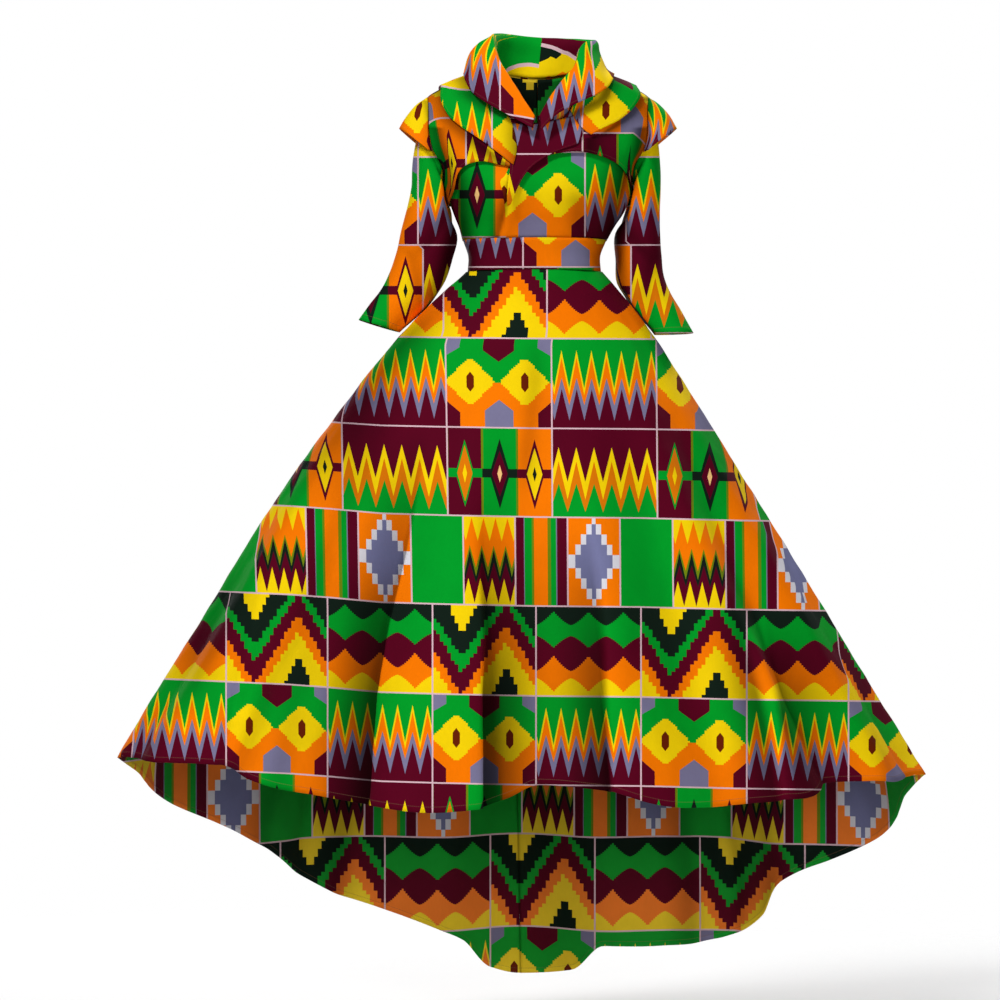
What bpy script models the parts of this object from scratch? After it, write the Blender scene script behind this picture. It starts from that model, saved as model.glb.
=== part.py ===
"""A worn dress in printed cotton: a high-low circle skirt, a waistband, a bodice with two cups,
bent three-quarter sleeves under small stiff caps, a short bolero layer and two collars.

Metres, +Z up, the front faces -Y, +X is the viewer's right.
The origin is the middle of the shoulder line. Every panel is an open surface, its good side
outwards, that is thickened inwards.
"""
import math

import bpy
from mathutils import Vector

# Cloth
CLOTH = 0.0016
STIFF = 0.0020
SEAM = 0.0006
HIDDEN_DROP = -0.0030
BOLERO_LIFT = 0.0054
LAPEL_LIFT = 0.0084
COLLAR_LIFT = 0.0104
OVERLAP_LIFT = 0.0118
UPPER_GAP = 0.0030
SLEEVE_CLEAR = 0.0092
SLEEVE_START = 0.0007

# Heights
WAIST_TOP = -0.2415
WAIST_SEAM = -0.2915
UNDERARM = -0.1520
SIDE_TOP = -0.1380
BOLERO_SIDE_LEFT = -0.1880
BOLERO_SIDE_RIGHT = -0.1780

# Grids
RINGS_LOW = 4
RINGS_ARM = 8
RINGS_SHOULDER = 4
HALF_COLUMNS = 8
RINGS_NECK = 8
SKIRT_RINGS = 12

# The worn torso, by height
TORSO = (
    # height, middle, half_width, front, back
    (-0.300, -0.0060, 0.1080, 0.0850, 0.0800),
    (-0.268, -0.0060, 0.1065, 0.0840, 0.0790),
    (-0.242, -0.0055, 0.1150, 0.0880, 0.0820),
    (-0.210, -0.0010, 0.1290, 0.0980, 0.0890),
    (-0.180, 0.0020, 0.1440, 0.1060, 0.0950),
    (-0.152, 0.0000, 0.1490, 0.1080, 0.0990),
    (-0.125, 0.0000, 0.1570, 0.1040, 0.1000),
    (-0.100, 0.0000, 0.1740, 0.0980, 0.0990),
    (-0.075, 0.0000, 0.1790, 0.0900, 0.0970),
    (-0.045, 0.0000, 0.1790, 0.0800, 0.0910),
    (-0.014, 0.0000, 0.1720, 0.0680, 0.0800),
    (0.003, 0.0000, 0.1400, 0.0630, 0.0740),
    (0.018, 0.0000, 0.1000, 0.0600, 0.0690),
    (0.030, 0.0000, 0.0660, 0.0580, 0.0650),
    (0.080, 0.0000, 0.0560, 0.0560, 0.0600),
)
SQUARE = 2.3
CHEST = Vector((0.0, 0.0, -0.12))
CUPS = (-0.064, 0.071)
CUP_RISE = 0.020
CUP_WIDTH = 0.044
CUP_HEIGHT = -0.172
CUP_TALL = 0.040

# The skirt, by height
SKIRT = (
    # height, middle, half_width, front, back
    (-0.2915, -0.0060, 0.1090, 0.0860, 0.0810),
    (-0.342, -0.0120, 0.1590, 0.1280, 0.1360),
    (-0.392, -0.0180, 0.2020, 0.1600, 0.1780),
    (-0.472, -0.0250, 0.2610, 0.2050, 0.2350),
    (-0.704, -0.0350, 0.4160, 0.3050, 0.3600),
    (-0.832, -0.0350, 0.4940, 0.3550, 0.4200),
    (-0.960, -0.0360, 0.5730, 0.4050, 0.4800),
    (-1.060, -0.0350, 0.6340, 0.4400, 0.5250),
    (-1.100, -0.0330, 0.6560, 0.4520, 0.5420),
    (-1.300, -0.0280, 0.7400, 0.5050, 0.6000),
    (-1.500, -0.0250, 0.7950, 0.5500, 0.6350),
)

# The hem, by the angle from the front (positive to the viewer's right)
HEM = (
    # angle, height
    (-102, -1.094),
    (-90, -1.068),
    (-80, -1.063),
    (-58, -1.062),
    (-47, -1.068),
    (-39, -1.081),
    (-33, -1.096),
    (-25, -1.112),
    (-13, -1.121),
    (-7, -1.122),
    (-2, -1.105),
    (3, -1.084),
    (11, -1.089),
    (17, -1.109),
    (23, -1.118),
    (29, -1.120),
    (41, -1.108),
    (54, -1.091),
    (80, -1.091),
    (90, -1.095),
    (104, -1.134),
    (119, -1.207),
    (130, -1.262),
    (138, -1.300),
    (144, -1.365),
    (154, -1.418),
    (162, -1.430),
    (168, -1.428),
    (173, -1.474),
    (180, -1.486),
    (184, -1.472),
    (188, -1.420),
    (192, -1.398),
    (206, -1.332),
    (218, -1.262),
    (232, -1.188),
    (247, -1.130),
    (258, -1.094),
    (270, -1.068),
    (280, -1.063),
)

# The flutes, by angle: 0 is the crest of a flute, 1 the bottom of the hollow beside it
FLUTES = (
    # angle, hollow
    (-105, 0.75),
    (-90, 0.00),
    (-76, 0.65),
    (-62, 0.00),
    (-50, 0.75),
    (-38, 0.05),
    (-25, 1.00),
    (-13, -0.20),
    (-1, 0.95),
    (9, 0.50),
    (17, 0.00),
    (32, 0.80),
    (42, 0.00),
    (54, 0.80),
    (66, 0.05),
    (78, 0.65),
    (90, 0.00),
    (105, 0.75),
    (121, 0.00),
    (138, 0.90),
    (154, 0.00),
    (168, 1.00),
    (180, 0.00),
    (191, 1.00),
    (206, 0.00),
    (221, 0.85),
    (238, 0.00),
    (255, 0.75),
    (270, 0.00),
    (284, 0.65),
)
FLUTE_DEPTH = (
    # height, depth
    (-0.380, 0.000),
    (-0.500, 0.005),
    (-0.700, 0.028),
    (-0.900, 0.052),
    (-1.100, 0.070),
    (-1.450, 0.080),
)
FLUTE_STEPS = 3
SEAM_FLAT = 1.2

# Seam lines on the torso, each point as width and height
ARMHOLE = ((0.1500, -0.1520), (0.1494, -0.1460), (0.1506, -0.1350), (0.1544, -0.1200), (0.1662, -0.1000),
           (0.1700, -0.0700), (0.1700, -0.0300), (0.1720, -0.0140))
SHOULDER = ((0.1720, -0.0140), (0.1400, 0.0030), (0.1000, 0.0180), (0.0680, 0.0293))
NECK_FRONT = ((0.0680, 0.0293), (0.0660, 0.0080), (0.0620, -0.0150), (0.0510, -0.0380), (0.0300, -0.0560),
              (0.0000, -0.0640))
NECK_BACK = ((0.0680, 0.0293), (0.0500, 0.0290), (0.0250, 0.0270), (0.0000, 0.0260))
BOLERO_ARMHOLE = ((0.1500, -0.1620), (0.1465, -0.1530), (0.1457, -0.1400), (0.1509, -0.1200),
                  (0.1627, -0.1000), (0.1690, -0.0750), (0.1700, -0.0300), (0.1720, -0.0140))
BOLERO_LEFT_HEM = ((-0.1500, -0.1880), (-0.1370, -0.1800), (-0.1310, -0.1650), (-0.1210, -0.1350),
                   (-0.1080, -0.1260), (-0.0920, -0.1230), (-0.0610, -0.1300), (-0.0400, -0.1340),
                   (-0.0200, -0.1340))
BOLERO_RIGHT_HEM = ((-0.0200, -0.1340), (0.0000, -0.1230), (0.0230, -0.1130), (0.0570, -0.1080),
                    (0.0970, -0.1140), (0.1210, -0.1240), (0.1370, -0.1410), (0.1440, -0.1580),
                    (0.1500, -0.1780))
BOLERO_FRONT = -0.0200
BOLERO_HEM_LEFT_SPREAD = ((0, 0.00), (8, 0.20), (12, 0.42), (16, 0.58), (18, 0.70), (20, 1.00))
BOLERO_HEM_RIGHT_SPREAD = ((0, 0.00), (8, 0.28), (12, 0.53), (16, 0.70), (18, 0.79), (20, 1.00))
BOLERO_MIDDLE = (
    # column, width, height
    (3, 0.0340, -0.0800),
    (8, 0.0680, -0.0400),
    (10, 0.1060, -0.0260),
    (12, 0.1460, -0.0280),
    (14, 0.1500, -0.0580),
    (16, 0.1440, -0.0960),
)
BOLERO_ROWS = (4, 4)
LAPEL_INNER = ((-0.0490, -0.1905), (-0.0470, -0.1500), (-0.0440, -0.1000), (-0.0400, -0.0640))
LAPEL_OUTER = ((-0.0445, -0.1880), (-0.0260, -0.1510), (-0.0060, -0.1300), (0.0230, -0.1120),
               (0.0450, -0.1030), (0.0640, -0.0940), (0.0680, -0.0760), (0.0600, -0.0500))
COLLAR_EDGE_RIGHT = ((0.0810, -0.0830), (0.0970, -0.0730), (0.1260, -0.0560), (0.1480, -0.0340),
                     (0.1570, -0.0150), (0.1510, -0.0030))
COLLAR_EDGE_BACK = ((0.1480, -0.0150), (0.1360, -0.0330), (0.1100, -0.0600), (0.0600, -0.0760),
                    (0.0000, -0.0800))
COLLAR_EDGE_LEFT = ((-0.1510, -0.0030), (-0.1530, -0.0150), (-0.1480, -0.0290), (-0.1380, -0.0490),
                    (-0.1180, -0.0690), (-0.0880, -0.0910), (-0.0600, -0.1150), (-0.0400, -0.1340))
COLLAR_END_RIGHT = ((0.0810, -0.0830), (0.0670, -0.0730), (0.0560, -0.0560), (0.0480, -0.0420))
COLLAR_END_LEFT = ((-0.0400, -0.1340), (-0.0350, -0.1200), (-0.0350, -0.0900), (-0.0420, -0.0640),
                   (-0.0540, -0.0360))

# The bent sleeves: rings across the arm, from above the elbow's bend down to the hem
SLEEVE_LEFT = (
    # x, y, z, half_width, half_depth, tilt
    (-0.1640, 0.004, -0.1610, 0.0390, 0.0470, 8),
    (-0.1675, 0.006, -0.1920, 0.0425, 0.0480, 4),
    (-0.1736, 0.010, -0.2272, 0.0456, 0.0480, 5),
    (-0.1820, 0.013, -0.2650, 0.0456, 0.0470, 7),
    (-0.1928, 0.014, -0.2976, 0.0450, 0.0460, 10),
    (-0.2100, 0.012, -0.3290, 0.0420, 0.0440, 18),
    (-0.2350, 0.008, -0.3565, 0.0370, 0.0420, 24),
    (-0.2544, 0.004, -0.3776, 0.0344, 0.0410, 17),
)
SLEEVE_RIGHT = (
    # x, y, z, half_width, half_depth, tilt
    (0.1590, 0.004, -0.1610, 0.0380, 0.0470, 8),
    (0.1600, 0.006, -0.1920, 0.0355, 0.0490, 3),
    (0.1592, 0.010, -0.2272, 0.0362, 0.0500, 2),
    (0.1608, 0.013, -0.2672, 0.0376, 0.0490, 3),
    (0.1645, 0.014, -0.3030, 0.0380, 0.0480, 9),
    (0.1750, 0.012, -0.3330, 0.0385, 0.0460, 14),
    (0.1945, 0.008, -0.3620, 0.0365, 0.0430, 12),
    (0.2144, 0.004, -0.3900, 0.0344, 0.0410, 2),
)
HEAD_RINGS = 5

# The caps
CAP_STEPS = 3

# The upper collar from its right front end round the back to its left front end
COLLAR_UPPER = (
    # share, rim_x, rim_y, rim_z, edge_x, edge_y, edge_z, swell
    (0.00, 0.0010, -0.1080, -0.0520, 0.0030, -0.1215, -0.0760, 0.000),
    (0.06, 0.0150, -0.1020, -0.0260, 0.0260, -0.1170, -0.0520, 0.001),
    (0.13, 0.0370, -0.0880, 0.0060, 0.0630, -0.1060, -0.0300, 0.002),
    (0.20, 0.0600, -0.0660, 0.0360, 0.0950, -0.0900, -0.0140, 0.000),
    (0.27, 0.0720, -0.0450, 0.0700, 0.1150, -0.0560, 0.0040, -0.004),
    (0.34, 0.0920, -0.0050, 0.0790, 0.1200, 0.0000, 0.0200, -0.007),
    (0.42, 0.0680, 0.0480, 0.0870, 0.0860, 0.0800, 0.0060, -0.003),
    (0.51, 0.0000, 0.0780, 0.0930, 0.0000, 0.1130, -0.0100, 0.000),
    (0.60, -0.0500, 0.0540, 0.0960, -0.0840, 0.0800, 0.0060, 0.004),
    (0.68, -0.0730, 0.0050, 0.0900, -0.1170, 0.0020, 0.0200, 0.010),
    (0.75, -0.0700, -0.0330, 0.0640, -0.1120, -0.0520, 0.0000, 0.008),
    (0.81, -0.0600, -0.0560, 0.0380, -0.0980, -0.0830, -0.0180, 0.005),
    (0.87, -0.0390, -0.0830, 0.0020, -0.0750, -0.1000, -0.0340, 0.003),
    (0.94, -0.0200, -0.1000, -0.0300, -0.0430, -0.1140, -0.0530, 0.001),
    (1.00, -0.0055, -0.1080, -0.0520, -0.0085, -0.1205, -0.0720, 0.000),
)
COLLAR_COLUMNS = 32
COLLAR_STAND_STEPS = 2
COLLAR_FALL_STEPS = 4
RIM_HALF = 0.0034


def soft_step(x):
    """0 below 0 and 1 above 1, with a smooth rise between."""
    x = min(max(x, 0.0), 1.0)
    return x * x * (3 - 2 * x)


def through(table, column):
    """A smooth curve without overshoot through one column of a table, by the first column."""
    rows = sorted(table)
    at = [row[0] for row in rows]
    value = [row[column] for row in rows]
    step = [b - a for a, b in zip(at, at[1:])]
    slope = [(b - a) / h for a, b, h in zip(value, value[1:], step)]
    lean = [slope[0]]
    for i in range(1, len(slope)):
        before, after = slope[i - 1], slope[i]
        if before * after <= 0:
            lean.append(0.0)
            continue
        first = 2 * step[i] + step[i - 1]
        second = step[i] + 2 * step[i - 1]
        lean.append((first + second) / (first / before + second / after))
    lean.append(slope[-1])

    def value_at(x):
        x = min(max(x, at[0]), at[-1])
        i = 0
        while i < len(step) - 1 and x > at[i + 1]:
            i += 1
        t = (x - at[i]) / step[i]
        left = (1 + 2 * t) * (1 - t) ** 2 * value[i] + t * (1 - t) ** 2 * step[i] * lean[i]
        right = t * t * (3 - 2 * t) * value[i + 1] + t * t * (t - 1) * step[i] * lean[i + 1]
        return left + right

    return value_at


def path(points):
    """A smooth line through points, by the share of its length from 0 to 1."""
    length = [0.0]
    for a, b in zip(points, points[1:]):
        length.append(length[-1] + math.dist(a, b))
    table = [(d / length[-1], *p) for d, p in zip(length, points)]
    axes = [through(table, 1 + k) for k in range(len(points[0]))]
    return lambda t: tuple(axis(t) for axis in axes)


def shares(count, low=0.0, high=1.0):
    """Evenly spaced numbers from low to high."""
    return [low + (high - low) * i / count for i in range(count + 1)]


torso_middle, torso_half, torso_front, torso_back = (through(TORSO, k) for k in (1, 2, 3, 4))
skirt_middle, skirt_half, skirt_front, skirt_back = (through(SKIRT, k) for k in (1, 2, 3, 4))
hem_height = through(HEM, 1)
flute_hollow = through(FLUTES, 1)
flute_depth = through(FLUTE_DEPTH, 1)


def cup(x, z):
    """How far the two cups stand out from the chest."""
    rise = 0.0
    for middle in CUPS:
        rise += math.exp(-((x - middle) / CUP_WIDTH) ** 2 - ((z - CUP_HEIGHT) / CUP_TALL) ** 2)
    return CUP_RISE * rise


def depth_of(x, z, behind):
    """The torso's depth on its middle line, in front with the cups."""
    return torso_back(z) if behind else torso_front(z) + cup(x, z)


def on_torso(x, z, behind=False):
    """The torso's point at a width and height."""
    share = min(abs(x - torso_middle(z)) / torso_half(z), 1.0)
    x = torso_middle(z) + math.copysign(share * torso_half(z), x - torso_middle(z))
    deep = depth_of(x, z, behind) * (1 - share ** SQUARE) ** (1 / SQUARE)
    return Vector((x, deep if behind else -deep, z))


def fill(p):
    """Below 1 inside the worn torso, above 1 outside it."""
    across = abs(p.x - torso_middle(p.z)) / torso_half(p.z)
    deep = abs(p.y) / depth_of(p.x, p.z, p.y > 0)
    return across ** SQUARE + deep ** SQUARE


def outward(p):
    """The direction straight out of the torso."""
    h = 0.0008
    steps = (Vector((h, 0, 0)), Vector((0, h, 0)), Vector((0, 0, h)))
    return Vector([fill(p + s) - fill(p - s) for s in steps]).normalized()


def aim(p):
    """The angle from the front and the rise of a point, seen from the chest's middle."""
    d = p - CHEST
    return math.atan2(d.x, -d.y), math.atan2(d.z, math.hypot(d.x, d.y))


def reach(angle, rise):
    """The torso's point in a direction from the chest's middle."""
    d = Vector((math.sin(angle) * math.cos(rise), -math.cos(angle) * math.cos(rise), math.sin(rise)))
    low, high = 0.03, 0.30
    for _ in range(26):
        half = (low + high) / 2
        if fill(CHEST + d * half) < 1:
            low = half
        else:
            high = half
    return CHEST + d * low


def aimed(points, behind=False):
    """Width and height points as directions, the angle growing past the back without a jump."""
    found = []
    for x, z in points:
        angle, rise = aim(on_torso(x, z, behind))
        if behind and angle < 0:
            angle += 2 * math.pi
        if found and angle - found[-1][0] > math.pi:
            angle -= 2 * math.pi
        if found and found[-1][0] - angle > math.pi:
            angle += 2 * math.pi
        found.append((angle, rise))
    return found


def mirror(points):
    """The same seam on the other side."""
    return tuple((-x, z) for x, z in points)


def progress(line, t):
    """How far a line has come at t, measured straight from its start to its end."""
    start, here, end = line(0), line(t), line(1)
    whole = [e - s for s, e in zip(start, end)]
    done = [h - s for s, h in zip(start, here)]
    return sum(w * d for w, d in zip(whole, done)) / sum(w * w for w in whole)


def patch(low, high, left, right, across, up, lift):
    """A panel on the torso between four lines of directions, as rows from low to high."""
    rows = []
    for t in up:
        row = []
        a, b = progress(left, t), progress(right, t)
        for s in across:
            c = (1 - s) * a + s * b
            place = []
            for k in (0, 1):
                level = (1 - c) * low(s)[k] + c * high(s)[k]
                bow_left = left(t)[k] - (1 - a) * left(0)[k] - a * left(1)[k]
                bow_right = right(t)[k] - (1 - b) * right(0)[k] - b * right(1)[k]
                place.append(level + (1 - s) * bow_left + s * bow_right)
            p = reach(*place)
            row.append(p + outward(p) * (lift(p) if callable(lift) else lift))
        rows.append(row)
    return rows


def pull(rows, left=0.0, right=0.0, low=0.0, high=0.0, wide_from=None):
    """Moves the edges of a grid of points inwards by these lengths, wider along the shoulder.
    The highest row can have a length for each column."""
    tops = high if isinstance(high, list) else [high] * len(rows[0])
    moved = [[p.copy() for p in row] for row in rows]
    for i, row in enumerate(rows):
        more = 2.2 if wide_from is not None and i >= wide_from else 1.0
        moved[i][0] += (row[1] - row[0]).normalized() * left * more
        moved[i][-1] += (row[-2] - row[-1]).normalized() * right * more
    for j in range(len(rows[0])):
        moved[0][j] += (rows[1][j] - rows[0][j]).normalized() * low
        moved[-1][j] += (rows[-2][j] - rows[-1][j]).normalized() * tops[j]
    return moved


def clear_of_body(p, share=1.0):
    """The point moved straight out of the torso and skirt until it is clear of them."""
    if p.z > WAIST_SEAM:
        middle, half, square = torso_middle(p.z), torso_half(p.z), SQUARE
        deep = depth_of(p.x, p.z, p.y > 0)
    else:
        middle, half, square = skirt_middle(p.z), skirt_half(p.z), 2.0
        deep = skirt_back(p.z) if p.y > 0 else skirt_front(p.z)
    away = SLEEVE_CLEAR * share * (0.55 + 0.45 * soft_step((p.z + 0.215) / 0.020))
    half += away
    deep += away
    full = (abs(p.x - middle) / half) ** square + (abs(p.y) / deep) ** square
    if full >= 1:
        return p
    grow = full ** (-1 / square)
    return Vector((middle + (p.x - middle) * grow, p.y * grow, p.z))


def colour(name, rgb):
    """A cloth material of its own for one panel."""
    material = bpy.data.materials.new(name)
    material.use_nodes = True
    shader = material.node_tree.nodes["Principled BSDF"]
    shader.inputs["Base Color"].default_value = (*rgb, 1)
    shader.inputs["Roughness"].default_value = 0.7
    shader.inputs["Metallic"].default_value = 0.0
    return material


def cloth(name, rows, rgb, thickness=CLOTH, closed=False):
    """One sewn panel: rows of points from low to high, seen left to right from outside."""
    count = len(rows[0])
    points = [p for row in rows for p in row]
    faces = []
    for i in range(len(rows) - 1):
        for j in range(count if closed else count - 1):
            k = (j + 1) % count
            faces.append((i * count + j, i * count + k, (i + 1) * count + k, (i + 1) * count + j))
    mesh = bpy.data.meshes.new(name)
    mesh.from_pydata(points, [], faces)
    mesh.update()
    panel = bpy.data.objects.new(name, mesh)
    dress.objects.link(panel)
    panel.data.materials.append(colour("cotton_" + name, rgb))
    shell = panel.modifiers.new("cloth", "SOLIDIFY")
    shell.thickness = thickness
    shell.offset = -1
    shell.use_rim = True
    shell.use_quality_normals = True
    return panel


def ring_row(z, columns, start, end):
    """A level row of points on the torso between two angles round its section."""
    row = []
    for angle in shares(columns, start, end):
        across = math.sin(math.radians(angle))
        deep = abs(math.cos(math.radians(angle)))
        x = torso_middle(z) + torso_half(z) * math.copysign(abs(across) ** (2 / SQUARE), across)
        behind = math.cos(math.radians(angle)) < 0
        y = depth_of(x, z, behind) * deep ** (2 / SQUARE)
        row.append(Vector((x, y if behind else -y, z)))
    return row


def line_of(points):
    """A line of directions that passes each of these points on the torso at its own column."""
    found = []
    for p in points:
        angle, rise = aim(p)
        while found and found[-1][0] - angle > math.pi:
            angle += 2 * math.pi
        while found and angle - found[-1][0] > math.pi:
            angle -= 2 * math.pi
        found.append((angle, rise))
    return lambda s: found[round(s * (len(found) - 1))]


def rising(first, second, first_steps, second_steps):
    """One line made of two, with a set number of steps in each."""
    a = path(first)
    b = path(second)
    points = [a(t) for t in shares(first_steps)] + [b(t) for t in shares(second_steps)[1:]]
    count = first_steps + second_steps

    def at(t):
        place = t * count
        i = min(int(place + 1e-9), count - 1)
        part = place - i
        return tuple(p + (q - p) * part for p, q in zip(points[i], points[i + 1]))

    return at


def under_bolero(p):
    """The bodice lies a little deeper where the overlay hides it, from further down behind."""
    start = -0.140 - 0.045 * soft_step(p.y / 0.025)
    return HIDDEN_DROP * min(max((p.z - start) / 0.030, 0.0), 1.0)


def hidden(rows):
    """Rows on the torso, laid deeper where the overlay hides them."""
    return [[p + outward(p) * under_bolero(p) for p in row] for row in rows]


def bodice():
    """The front and the two backs, in one grid each, and the armhole points for the sleeves."""
    front_low = [ring_row(z, 2 * HALF_COLUMNS, -90, 90) for z in shares(RINGS_LOW, WAIST_TOP, UNDERARM)]
    arm_right = aimed(ARMHOLE)
    top_right = aimed(SHOULDER)
    arm_left = aimed(mirror(ARMHOLE))
    top_left = aimed(mirror(SHOULDER))
    neck = aimed(mirror(NECK_FRONT) + NECK_FRONT[-2::-1])
    steps = RINGS_ARM + RINGS_SHOULDER
    upper = patch(line_of(front_low[-1]), path(neck),
                  rising(arm_left, top_left, RINGS_ARM, RINGS_SHOULDER),
                  rising(arm_right, top_right, RINGS_ARM, RINGS_SHOULDER),
                  shares(2 * HALF_COLUMNS), shares(steps), under_bolero)
    front = hidden(front_low) + upper[1:]

    back_low = [ring_row(z, 2 * HALF_COLUMNS, 90, 270) for z in shares(RINGS_LOW, WAIST_TOP, UNDERARM)]
    back_right = aimed(ARMHOLE, True)
    back_right_top = aimed(SHOULDER, True)
    back_left = aimed(mirror(ARMHOLE), True)
    back_left_top = aimed(mirror(SHOULDER), True)
    nape = aimed(NECK_BACK + mirror(NECK_BACK)[-2::-1], True)
    rear = patch(line_of(back_low[-1]), path(nape),
                 rising(back_right, back_right_top, RINGS_ARM, RINGS_SHOULDER),
                 rising(back_left, back_left_top, RINGS_ARM, RINGS_SHOULDER),
                 shares(2 * HALF_COLUMNS), shares(steps), under_bolero)
    back = hidden(back_low) + rear[1:]

    edge = SEAM / 2
    top = RINGS_LOW + RINGS_ARM
    cloth("bodice_front", pull(front, edge, edge, edge, 0.002, top), (0.05, 0.30, 0.08))
    right_half = [row[:HALF_COLUMNS + 1] for row in back]
    left_half = [row[HALF_COLUMNS:] for row in back]
    cloth("bodice_back_right", pull(right_half, edge, edge, edge, 0.002, top), (0.40, 0.06, 0.08))
    cloth("bodice_back_left", pull(left_half, edge, edge, edge, 0.002, top), (0.42, 0.10, 0.04))

    first = RINGS_LOW
    last = RINGS_LOW + RINGS_ARM
    holes = {}
    for side, column, inner in (("left", 0, 1), ("right", -1, -2)):
        rear_column, rear_inner = (-1, -2) if side == "left" else (0, 1)
        before = [(front[i][column], front[i][inner]) for i in range(first, last + 1)]
        after = [(back[i][rear_column], back[i][rear_inner]) for i in range(first, last + 1)]
        holes[side] = (before, after)
    return holes


def waistband():
    """One strip round the waist, its ends together at the centre back."""
    rows = []
    for z in shares(2, WAIST_SEAM, WAIST_TOP):
        rows.append(ring_row(z, 4 * HALF_COLUMNS, -180, 180))
    cloth("waistband", pull(rows, SEAM / 2, SEAM / 2, SEAM / 2, SEAM / 2), (0.30, 0.03, 0.05))


def skirt_point(angle, z):
    """A point of the fluted skirt."""
    hollow = flute_hollow(angle) * flute_depth(z)
    turn = math.radians(angle)
    deep = skirt_back(z) if math.cos(turn) < 0 else skirt_front(z)
    return Vector((skirt_middle(z) + (skirt_half(z) - hollow) * math.sin(turn),
                   -(deep - hollow) * math.cos(turn), z))


def skirt():
    """The short front and the two long backs."""
    knots = [row[0] for row in FLUTES if -90 <= row[0] <= 270]
    angles = [-90 + SEAM_FLAT, 90 - SEAM_FLAT, 90 + SEAM_FLAT, 180 - SEAM_FLAT, 180 + SEAM_FLAT,
              270 - SEAM_FLAT]
    for a, b in zip(knots, knots[1:]):
        angles += shares(FLUTE_STEPS, a, b)[:-1]
    angles.append(knots[-1])
    angles.sort()
    panels = (("skirt_front", -90, 90, (0.02, 0.32, 0.06)),
              ("skirt_back_right", 90, 180, (0.75, 0.30, 0.02)),
              ("skirt_back_left", 180, 270, (0.30, 0.02, 0.05)))
    for name, start, end, rgb in panels:
        rows = []
        for t in shares(SKIRT_RINGS, 1, 0):
            row = []
            for angle in angles:
                if start <= angle <= end:
                    drop = (WAIST_SEAM - hem_height(angle)) * t ** 1.35
                    row.append(skirt_point(angle, WAIST_SEAM - drop))
            rows.append(row)
        cloth(name, pull(rows, SEAM / 2, SEAM / 2, 0, SEAM / 2), rgb)


def arm_ring(row, side, count):
    """One ring round the arm, from its inner side, anticlockwise seen from above."""
    x, y, z, half_width, half_depth, tilt = row
    lean = math.radians(tilt)
    out = Vector((side * math.cos(lean), 0, math.sin(lean)))
    ring = []
    for j in range(count):
        turn = 2 * math.pi * j / count
        across = -math.cos(turn) * half_width
        deep = -side * math.sin(turn) * half_depth
        ring.append(clear_of_body(Vector((x, y, z)) + out * across + Vector((0, deep, 0))))
    return ring


def sleeve(name, side, table, hole, rgb):
    """A sleeve from its armhole over the shoulder's end and down the bent arm."""
    front_points, back_points = hole
    first, second = (front_points, back_points) if side > 0 else (back_points, front_points)
    around = first + second[-2:0:-1]
    start = []
    for edge, inner in around:
        start.append(edge + (edge - inner).normalized() * SLEEVE_START + Vector((side * 0.0011, 0, 0)))
    count = len(start)
    arm = [arm_ring(row, side, count) for row in table]
    head = []
    for step in shares(HEAD_RINGS, 0, 1)[:-1]:
        ring = []
        for j in range(count):
            low = (1 + math.cos(2 * math.pi * j / count)) / 2
            a, d = start[j], arm[0][j]
            span = (d - a).length
            away = Vector((side * (0.5 + 0.5 * low), 0, -0.85 * (1 - low))).normalized()
            b = a + away * span * 0.30
            c = d + Vector((0, 0, 1)) * span * 0.38
            t = step
            p = a * (1 - t) ** 3 + b * (3 * t * (1 - t) ** 2) + c * (3 * t * t * (1 - t)) + d * t ** 3
            ring.append(clear_of_body(p, t) if p.z < SIDE_TOP else p)
        head.append(ring)
    cloth(name, list(reversed(head + arm)), rgb, closed=True)


def bolero_front(side, hem, spread_table, split):
    """One front of the overlay: rows from its round hem to its neckline, shoulder and armhole,
    with a line laid between them. The columns run from the centre to the side."""
    turned = mirror if side < 0 else tuple
    neck = path(split[-1:] + aimed(turned(NECK_FRONT[:-1] if side < 0 else NECK_FRONT))[::-1])
    shoulder = path(aimed(turned(SHOULDER))[::-1])
    armhole = path(aimed(turned(BOLERO_ARMHOLE))[::-1])
    outer = [neck(t) for t in shares(RINGS_NECK)]
    outer += [shoulder(t) for t in shares(RINGS_SHOULDER)[1:]]
    outer += [armhole(t) for t in shares(RINGS_ARM)[1:]]
    count = len(outer) - 1
    spread = through(spread_table, 1)
    hem_line = path(aimed(turned(hem)))
    inner = [hem_line(spread(k)) for k in range(count + 1)]
    laid = [(0, *split[1])]
    laid += [(row[0], *d) for row, d in zip(BOLERO_MIDDLE, aimed(turned([row[1:] for row in BOLERO_MIDDLE])))]
    laid += [(k, *[(a + b) / 2 for a, b in zip(inner[k], outer[k])]) for k in (count - 2, count)]
    middle = [(through(laid, 1)(k), through(laid, 2)(k)) for k in range(count + 1)]
    levels = []
    for first, second, steps in ((inner, middle, BOLERO_ROWS[0]), (middle, outer, BOLERO_ROWS[1])):
        for t in shares(steps)[1 if levels else 0:]:
            levels.append([tuple(p + (q - p) * t for p, q in zip(a, b)) for a, b in zip(first, second)])
    rows = []
    for level in levels:
        points = [reach(*place) for place in level]
        rows.append([p + outward(p) * BOLERO_LIFT for p in points])
    edge = SEAM / 2
    inset = [0.003] * (RINGS_NECK + 1) + [edge * 2.2] * RINGS_SHOULDER + [edge] * RINGS_ARM
    panel = pull(rows, edge, edge, 0, inset)
    if side < 0:
        panel = [row[::-1] for row in panel]
    return panel, rows[-1][-1:-RINGS_ARM - 2:-1]


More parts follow.
